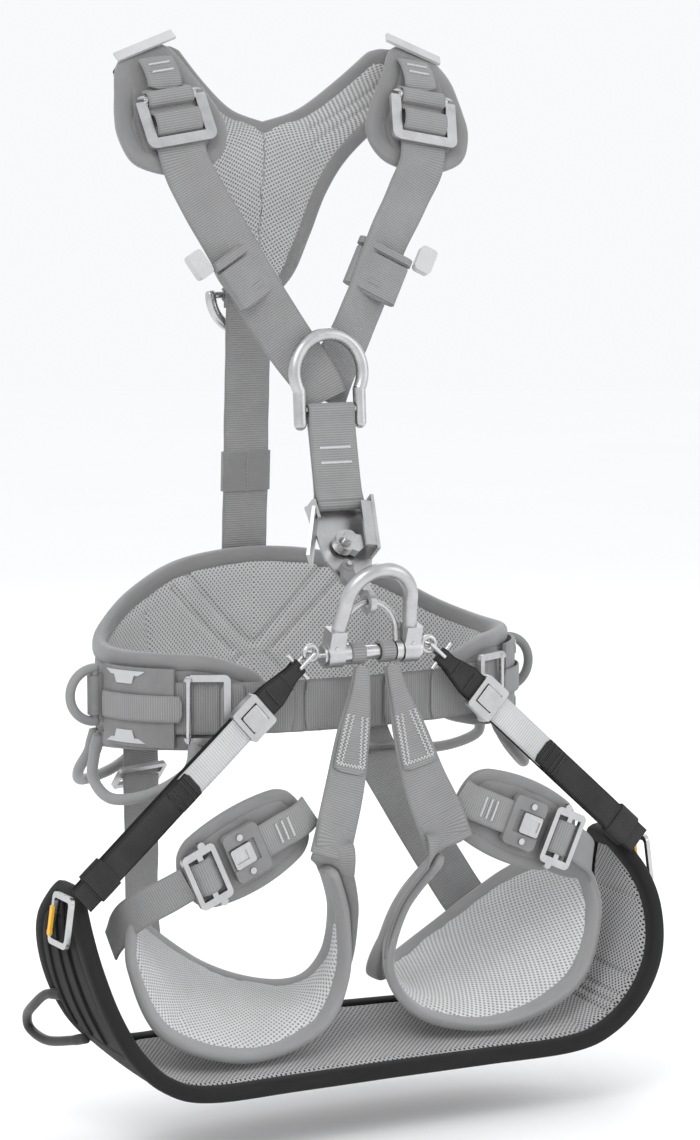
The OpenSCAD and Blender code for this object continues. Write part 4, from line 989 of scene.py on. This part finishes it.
bend = np.radians(np.linspace(-20, 200, 15))
r = 4.5
low_bend = np.c_[r * np.cos(np.pi + bend), r * np.sin(np.pi + bend)]
high_bend = np.c_[r * np.cos(bend), drop + r * np.sin(bend)]
right_side = np.array([[2.0, 10], [1.35, 20], [1.3, drop / 2], [1.35, drop - 20], [2.0, drop - 10]])
loop = np.vstack([low_bend, right_side, high_bend, right_side[::-1] * [-1, 1]])
path = even(np.vstack([loop, loop[:1]]), 2.0)[:-1]
path = on_chest_strap(np.c_[np.zeros(len(path)), path])
side = np.broadcast_to([1.0, 0, 0], path.shape)
v, faces, cloth = swept(path, side, np.cross(side, heading(path, True)), web_outline(WEB_W, WEB_T), loop=True)
o = piece("chest_tie_webbing", v, faces, GREY_WEB, cloth=cloth, crease=50)
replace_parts(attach(o, "harness"), "chest_strap")
tacks = []
for z in (36, 49):
    a, b, c = (on_chest_strap(np.array(q, float)) for q in ((-15, -2.8, z), (15, -2.8, z), (0, -3.8, z)))
    tacks.append(zigzag(a, b, on_chest_strap([0, 0, 1.0]) - on_chest_strap([0, 0, 0.0]), unit(c - (a + b) / 2), 3.0, 0.75))
v, faces, _ = joined(tacks)
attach(piece("chest_tie_tacks", v, faces, PALE_THREAD), "harness")

# ---------- seat ----------

SEAT_LINE = [[0, 0], [90, 0], [176, 2], [216, 15], [245, 42], [264, 76], [273, 112], [273, 142], [265, 170]]
SEAT_FRONT = [-46, -47, -52, -54, -55, -50, -34, -10, 26]
SEAT_REAR = [120, 116, 104, 88, 80, 78, 80, 78, 62]
SEAT_DROP, SEAT_RISE, SEAT_SIZE = 358, 18, (780, 166)


def seat_skin(u, v, off):
    """The middle of the seat: u from the top of its left side, along its floor, to the top of its right side, v from
    front to rear. The floor rises by v squared towards the rear."""
    u, v, off = np.broadcast_arrays(np.asarray(u, float), v, off)
    w = np.clip(np.abs(2 * u - 1), 0, 1)
    p = on_curve(SEAT_LINE, w)
    ahead = unit(on_curve(SEAT_LINE, np.minimum(w + 0.01, 1)) - on_curve(SEAT_LINE, np.maximum(w - 0.01, 0)))
    level = np.clip(w / 0.02, 0, 1)[..., None]
    ahead = unit(ahead * level + np.array([1.0, 0]) * (1 - level))
    front, rear = on_curve(SEAT_FRONT, w)[..., 0], on_curve(SEAT_REAR, w)[..., 0]
    up = 2 - off
    return np.stack([np.where(u < 0.5, -1, 1) * (p[..., 0] - up * ahead[..., 1]), front + (rear - front) * v,
                     p[..., 1] - SEAT_DROP + up * ahead[..., 0] + SEAT_RISE * v * v * (1 - w)], -1)


def seat_seams(u, v, s, t, side):
    """Sewn channels across the lining at each bend, a seam all round it, and panel seams down the cover's sides."""
    w = np.abs(2 * u - 1)
    wide = breadth(seat_skin, np.clip(u, 0, 1))
    edge = np.minimum(v, 1 - v) * wide
    mm = w * 390
    inner = sum(groove(mm - k, 2.6, 2.6) for k in (158, 170, 182, 208)) * (edge > 15) + groove(edge - 15, 2.6, 1.8)
    inner = inner + groove(mm - 300, 3.0, 1.6) * (edge > 15) + groove(mm - 374, 3.0, 1.4)
    panel = sum(groove((v - k) * wide, 1.7, 1.9) for k in (0.3, 0.52, 0.76)) * np.clip((w - 0.5) * 12, 0, 1)
    panel = panel + groove(mm - 200, 2.0, 2.0) + groove(mm - 352, 2.0, 1.6) + groove(edge - 12, 1.8, 1.4)
    return np.where(side < 0, inner, panel)


pad("seat_padded_shell", seat_skin, SEAT_SIZE, 10.5, "seat", ["seat_shell", "seat_lining"],
    (BLACK_COVER, SEAT_MESH), margin=5, rim=12, voxel=3.6, reach=1.9, seams=seat_seams)
v, faces, cloth = binding_part(seat_skin, outline_loop(seat_skin, SEAT_SIZE, 6, 15, 760), 16, 14.2)
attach(piece("seat_binding", v, faces, BLACK_TAPE, cloth=cloth), "seat")

ribs = []
for sign in (-1, 1):
    for share, low in ((0.3, 0.53), (0.52, 0.53), (0.76, 0.53)):
        w = np.linspace(low, 0.985, 60)
        u = 0.5 + sign * w / 2
        lean = share + (0.5 - share) * 0.25 * (w - low) / (1 - low)
        p = seat_skin(u, lean, 7.0)
        normal = unit(seat_skin(u, lean, 8.0) - p)
        side = unit(np.cross(heading(p), normal))
        ribs.append(swept(p + normal * 0.2, side, normal, ring_outline(1.25, 8), round_ends=2))
v, faces, cloth = joined(ribs)
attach(piece("seat_piping", v, faces, BLACK_TAPE, cloth=cloth), "seat")

SEAT_LOOP = [[264, 54, -281], [271, 75, -284], [273, 98, -298], [270, 120, -312], [265, 126, -326], [259, 104, -332],
             [251, 72, -326], [243, 52, -320]]
tubes("seat_gear_tubes", [SEAT_LOOP, flip_x(SEAT_LOOP)], 4.2, [1, 0.2, 0.2], BLACK_RUBBER, "seat",
      ["seat_gear_loops"], 0.12)

STRAP_FROM, STRAP_TO = np.array([57.0, 0, 3]), np.array([266.0, 0, -184])
STRAP_LEN = float(np.linalg.norm(STRAP_TO - STRAP_FROM))
STRAP_PITCH = math.degrees(math.atan2(STRAP_FROM[2] - STRAP_TO[2], STRAP_TO[0] - STRAP_FROM[0]))


def on_seat_strap(p):
    """From the seat strap's own frame: x down the strap from the ventral bar's eye, -y to the front, z across it."""
    return placed(p, STRAP_FROM, (0, STRAP_PITCH, 0))


def seat_web(points, sign, width, thick=1.8, **more):
    """A strap through points of the seat strap's frame."""
    return web_run(points, (0, 0, 1), on_seat_strap, sign, width, thick, **more)


def bowed(low, high, y, bow, count=7, lift=0.0):
    """Points down the strap between low and high at depth y, bowed by bow * sin."""
    x = np.linspace(low, high, count)
    return np.c_[x, y - bow * np.sin(np.pi * (x - low) / (high - low)), lift * np.sin(np.pi * (x - low) / (high - low))]


for word, sign in SIDES:
    bight = [(17 + 3.0 * math.cos(k), 3.0 * math.sin(k), 0) for k in np.radians(np.linspace(90, 270, 7))]
    bight = [(24, 3.0, 0), *bight, (24, -3.0, 0)]
    top = web_run([*[(q[0], q[1], q[2]) for q in bight], (40, -3.6, 0), (58, -3.2, 0), (69, -3.0, 0)], (0, 0, 1),
                  on_seat_strap, sign, 25, 1.8, step=2.0, wide=([0, 26, 48, 90], [0.56, 0.56, 1, 1]))
    rear = seat_web(bowed(24, STRAP_LEN + 6, 3.0, -1.6, 12), sign, 24, step=3.0, wide=([0, 30, 400], [0.56, 1, 1]))
    tail = seat_web(bowed(158, STRAP_LEN + 8, -3.0, 1.0, 7), sign, 25, step=2.4)
    flap = seat_web(bowed(150, 176, -4.6, 0.2, 4), sign, 24.4, 1.6, step=2.0, round_ends=2)
    v, faces, cloth = joined([top, rear, tail, flap])
    o = piece("seat_black_webbing_" + word, v, faces, BLACK_WEB, cloth=cloth, crease=50)
    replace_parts(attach(o, "seat"), "seat_webbing")
    v, faces, cloth = seat_web(bowed(83, 160, -3.0, 0.8, 6), sign, 25, step=2.0)
    o = piece("seat_pale_webbing_" + word, v, faces, PALE_WEB, cloth=cloth, crease=50)
    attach(o, "seat")
    ahead = (on_seat_strap([[1.0, 0, 0]]) - on_seat_strap([[0.0, 0, 0]]))[0] * [sign, 1, 1]
    tacks = []
    for x in (155, 160.5, 168, 173):
        a, b = (on_seat_strap(np.array([[x, -5.6, z]], float))[0] * [sign, 1, 1] for z in (-11, 11))
        tacks.append(zigzag(a, b, ahead, np.array([0, -1.0, 0]), 2.2, 0.8))
    for x in (34, 52):
        a, b = (on_seat_strap(np.array([[x, -4.9, z]], float))[0] * [sign, 1, 1] for z in (-9, 9))
        tacks.append(zigzag(a, b, ahead, np.array([0, -1.0, 0]), 2.0, 0.8))
    v, faces, _ = joined(tacks)
    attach(piece("seat_tacks_" + word, v, faces, BLACK_THREAD), "seat")
    # the keeper: a wide elastic band sewn round both plies
    ring = web_outline(31, 12.6, 7, 7)
    x = np.linspace(STRAP_LEN - 29, STRAP_LEN - 4, 14)
    p = on_seat_strap(np.c_[x, 0 * x, 0 * x]) * [sign, 1, 1]
    across = np.broadcast_to(on_seat_strap([[0, 0, 1.0]]) - on_seat_strap([[0, 0, 0.0]]), p.shape) * [sign, 1, 1]
    front = np.broadcast_to([0, -1.0, 0], p.shape)
    v, faces, cloth = swept(p, across, front, ring, deep=1 + 0.1 * np.sin(np.linspace(0, np.pi, 14)), round_ends=1.5)
    o = piece("seat_keeper_" + word, v, faces if sign > 0 else [np.asarray(f)[..., ::-1] for f in faces], BLACK_WEB,
              cloth=cloth, crease=60)
    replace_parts(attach(o, "seat"), "seat_keepers")

# ---------- risers, thigh straps and front pads ----------

RISER = [[[14.5, -11, -10], [1, 0, 0]], [[18, -15, -32], [1, 0.1, 0.1]], [[27, -20, -66], [1, 0, 0.22]],
         [[38, -26, -108], [1, -0.1, 0.3]], [[50, -33, -142], [1, -0.2, 0.35]], [[58, -36, -166], [1, -0.2, 0.4]]]
RISER_WIDTHS = [15, 20, 32, 40, 44, 44]
LEG_WEB = [[[187, -29, -178], [0.35, 0, 1]], [[202, -22, -187], [0.35, 0.1, 1]], [[216, -11, -197], [0.3, 0.2, 1]],
           [[226, 4, -209], [0.2, 0.25, 1]], [[230, 20, -224], [0.1, 0.2, 1]], [[229, 34, -238], [0.05, 0.2, 1]]]
REAR_STRAP = [[[112, 227, -50], [1, -0.35, 0]], [[112.5, 227.8, -84], [1, -0.35, 0]], [[117, 217, -120], [1, -0.38, 0.05]],
              [[131, 186, -165], [0.95, -0.35, 0.25]], [[149, 147, -218], [0.82, -0.2, 0.5]],
              [[162.5, 110, -258], [0.66, 0.08, 0.74]], [[170, 83.4, -259.5], [0.64, 0.12, 0.76]],
              [[180, 58.6, -262.5], [0.64, 0.12, 0.76]]]


def on_thigh(p):
    """From the thigh buckle's own frame: x out along the strap, -y to the front, z across the strap."""
    return placed(p, (152, -31, -163), (0, 24, 0))


def mirrored(stations, sign):
    """The stations of a strap on the side of sign."""
    return [(np.asarray(q, float) * [sign, 1, 1], np.asarray(w, float) * [sign, 1, 1]) for q, w in stations]


for word, sign in SIDES:
    line = np.hstack([smooth([q for q, _ in RISER], 12), smooth([w for _, w in RISER], 12), smooth(RISER_WIDTHS, 12)])
    line = even(line * [sign, 1, 1, sign, 1, 1, 1], 2.2)
    side, up = strap_frame(line[:, :3], line[:, 3:6])
    front = up * np.sign(-up[:, 1:2])
    s = run_length(line[:, :3])
    web = [swept(line[:, :3], side, up, web_outline(1, WEB_T / 44, 9), wide=line[:, 6], deep=44.0)]
    lap = s < 92
    web.append(swept((line[:, :3] + front * 2.3)[lap], side[lap], up[lap], web_outline(1, 1.8 / 44, 7), wide=line[lap, 6] * 0.86,
                     deep=44.0, round_ends=3))
    # the loop round the ventral bar
    a = np.radians(np.linspace(-112, 248, 49)[:-1])
    ring = np.c_[np.full(48, 14.5 * sign), 8.0 * np.cos(a), 8.0 * np.sin(a)]
    across = np.broadcast_to([1.0, 0, 0], ring.shape)
    web.append(swept(ring, across, np.cross(across, heading(ring, True)), web_outline(14.0, 2.9, 5, 3), loop=True))
    v, faces, cloth = joined(web)
    o = piece("riser_webbing_" + word, v, faces, GREY_WEB, cloth=cloth, crease=50)
    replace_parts(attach(o, "harness"), "leg_risers")
    k = np.searchsorted(s, [42, 84])
    rows = []
    edge = lambda j, e: line[j, :3] + side[j] * e * (line[j, 6] * 0.43 - 2.6) + front[j] * 3.4
    for e in (-1, 1):
        rows.append(zigzag(edge(k[0], e), edge(k[1], e), side[k[0]], front[k[0]], 3.2, 1.5, 0.42))
        rows.append(zigzag(edge(k[0], e * 0.45), edge(k[1], e * 0.72), side[k[0]], front[k[0]], 2.6, 1.5, 0.42))
    down = unit(line[k[1], :3] - line[k[0], :3])
    rows.append(zigzag(edge(k[1], -1), edge(k[1], 1), down, front[k[0]], 3.2, 1.5, 0.42))
    v, faces, _ = joined(rows)
    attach(piece("riser_stitches_" + word, v, faces, PALE_THREAD), "harness")

    # where the riser folds over the pad's inner end and runs down it as a wide band
    skin = leg_skin(sign)
    w = np.linspace(1.0, 0.72, 60)
    on_pad = skin(w, 0.40 + 0 * w, 5.6 + 0 * w)
    path = np.vstack([line[-14:-1:3, :3] + front[-14:-1:3] * 0.5, on_pad[2:]])
    flat = skin(w, 0.9 + 0 * w, 5.6 + 0 * w) - skin(w, 0.0 + 0 * w, 5.6 + 0 * w)
    wide = np.vstack([side[-14:-1:3] * np.sign(np.einsum("ij,j->i", side[-14:-1:3], flat[2]))[:, None], unit(flat[2:])])
    line_and_width = even(np.hstack([smooth(path[::3], 6), smooth(wide[::3], 6)]), 2.5)
    across, up = strap_frame(line_and_width[:, :3], line_and_width[:, 3:])
    n = len(line_and_width)
    v, faces, cloth = swept(line_and_width[:, :3], across, up, web_outline(40, 2.2, 9), wide=np.linspace(1.05, 0.62, n), round_ends=3)
    o = piece("leg_riser_band_" + word, v, faces, GREY_WEB, cloth=cloth, crease=50)
    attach(o, "harness")

    # the padded front patch under the buckle
    def patch_skin(u, v, off):
        """A rounded patch: a square drawn in at its corners, x = a s sqrt(1 - k t^2), z = b t sqrt(1 - k s^2)."""
        x, z = 2 * np.asarray(u, float) - 1, 2 * np.asarray(v, float) - 1
        x, z = x * np.sqrt(1 - 0.40 * np.clip(z * z, 0, 1.2)), z * np.sqrt(1 - 0.40 * np.clip(x * x, 0, 1.2))
        return on_thigh(np.stack([-22 + 62 * x, 8 - np.asarray(off, float) + 3.5 * x * x, 37 * z], -1)) * [sign, 1, 1]
    pad("thigh_patch_" + word, patch_skin, (124, 74), 6.2, "harness", ["leg_front_pads"],
        (GREY_COVER, LEG_MESH), margin=5, rim=9, voxel=2.6, reach=0.9)
    v, faces, cloth = binding_part(patch_skin, outline_loop(patch_skin, (124, 74), 5, 8, 260), 12, 7.6)
    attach(piece("thigh_patch_rim_" + word, v, faces, GREY_TAPE, cloth=cloth), "harness")

    parts = [strap_part(mirrored(LEG_WEB, sign), 30, WEB_T, wave=0.6, turn=1.0),
             web_run([(-88, 3.0, 2), (-78, 0, 0), (-66, -1.6, 0), (-54, -0.4, 0), (-44, -1.2, 0), (-36, -1.0, 0)],
                     (0, 0, 1), on_thigh, sign, 30),
             web_run([(9, 1.6, 0), (13, -1.5, 0), (17, -4.8, 0), (22, -6.6, 0), (27, -4.8, 0), (31, -1.5, 0), (36, 1.6, 0)], (0, 0, 1),
                     on_thigh, sign, 30, step=1.4)]
    v, faces, cloth = joined(parts)
    o = piece("thigh_webbing_" + word, v, faces, GREY_WEB, cloth=cloth, crease=50)
    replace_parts(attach(o, "harness"), "leg_webbing")
    tacks = []
    for x in (-64, -58, -52):
        a, b = (on_thigh(np.array([[x, -2.9, z]], float))[0] * [sign, 1, 1] for z in (-9, 9))
        outward = (on_thigh([[1.0, 0, 0]]) - on_thigh([[0.0, 0, 0]]))[0] * [sign, 1, 1]
        tacks.append(zigzag(a, b, outward, np.array([0, -1.0, 0]), 2.4, 0.8))
    v, faces, _ = joined(tacks)
    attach(piece("thigh_tacks_" + word, v, faces, PALE_THREAD), "harness")
    v, faces, cloth = strap_part(mirrored(REAR_STRAP, sign), 42, WEB_T, wave=0.5, turn=0.4)
    o = piece("rear_webbing_" + word, v, faces, GREY_WEB, cloth=cloth, crease=50)
    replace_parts(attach(o, "harness"), "rear_leg_straps")

# ---------- waist side plates: pale windows and the elastic band ----------

for word, sign in SIDES:
    parts = []
    for up_down in (-1, 1):
        a, b = np.meshgrid(np.linspace(-1, 1, 25), np.linspace(0, 1, 8), indexing="ij")
        reach = (9.5 - 3.0 * b)
        z = BELT_Z + up_down * (31 - 11.0 * b * (np.abs(a) < 0.6) - 4.0 * b * (np.abs(a) >= 0.6))
        angle = 108 + a * reach
        top = waist(angle * sign, 19.6, z)
        low = waist(angle * sign, 17.6, z)
        ring = np.concatenate([top, low[:, ::-1]], 1)
        n, m = ring.shape[:2]
        k = np.arange(7)
        ends = np.stack([k, k + 1, m - 2 - k, m - 1 - k], 1)
        parts.append((ring.reshape(-1, 3), [net(n, m, wrap_cols=True), ends, ends[:, ::-1] + (n - 1) * m], None))
    v, faces, _ = joined(parts)
    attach(piece("side_plate_windows_" + word, v, faces, PALE_PLASTIC, crease=40), "harness")
    a = np.linspace(96, 131, 40)
    path = waist(a * sign, 20.2 + 1.2 * np.sin(np.radians((a - 96) * 5.2)) ** 2, BELT_Z)
    up = unit(waist(a * sign, 30, BELT_Z) - waist(a * sign, 10, BELT_Z))
    v, faces, cloth = swept(path, unit(np.cross(up, heading(path))), up, web_outline(23, 2.0), round_ends=2)
    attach(piece("side_elastic_" + word, v, faces, GREY_WEB, cloth=cloth, crease=50), "harness")

# ---------- floor, lights and camera ----------

lens_mid = (-1.4094, -2.6139, 0.4353)
camera = bpy.data.objects.new("camera", bpy.data.cameras.new("camera"))
scene.collection.objects.link(camera)
camera.data.lens, camera.data.sensor_width = 110.84, 36
camera.data.clip_start, camera.data.clip_end = 0.05, 60
camera.matrix_world = Matrix([[0.88295, 0.05722, -0.46597, lens_mid[0]], [-0.46947, 0.10762, -0.87636, lens_mid[1]],
                       [0.0, 0.99254, 0.12187, lens_mid[2]], [0, 0, 0, 1]])
scene.camera = camera
scene.view_settings.view_transform = "Standard"

FLOOR_SIDES, FLOOR_R, FLOOR_Z = 96, 9000, -415.0
a = np.linspace(0, 2 * np.pi, FLOOR_SIDES, endpoint=False)
disc = np.stack([FLOOR_R * np.cos(a), FLOOR_R * np.sin(a), np.full(FLOOR_SIDES, FLOOR_Z)], 1)
k = np.arange(FLOOR_SIDES)
floor = piece("floor", np.vstack([disc, [[0, 0, FLOOR_Z]]]),
              [np.stack([k, (k + 1) % FLOOR_SIDES, np.full(FLOOR_SIDES, FLOOR_SIDES)], 1)])
pale = Finish("pale floor", 0.9, **{"Emission Color": (1, 1, 1, 1), "Emission Strength": 0.055})
floor.data.materials.append(pale.finish(pale.blend(pale.noise(pale.place("object"), 3, 2.0), grey(0.93), grey(0.95))))
floor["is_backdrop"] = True

world = bpy.data.worlds.new("studio")
world.use_nodes = True
world.node_tree.nodes["Background"].inputs[0].default_value = (0.97, 0.98, 1.0, 1.0)
world.node_tree.nodes["Background"].inputs[1].default_value = 0.97
scene.world = world


def lamp(name, at, aim, size, watts):
    """A square soft light at a place, turned towards aim, in metres."""
    data = bpy.data.lights.new(name, "AREA")
    data.size, data.energy = size, watts
    o = bpy.data.objects.new(name, data)
    back = unit(np.subtract(at, aim))
    right = unit(np.cross([0, 0, 1.0], back))
    up = np.cross(back, right)
    o.matrix_world = Matrix([[right[k], up[k], back[k], at[k]] for k in range(3)] + [[0, 0, 0, 1]])
    scene.collection.objects.link(o)


lamp("key", (-1.8, -1.6, 2.2), (0, 0, 0), 1.4, 32)
lamp("fill", (2.2, -1.8, 1.0), (0, 0, 0), 1.8, 14)
lamp("back", (0.6, 2.2, 1.8), (0, 0, 0.1), 1.6, 22)

low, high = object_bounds()
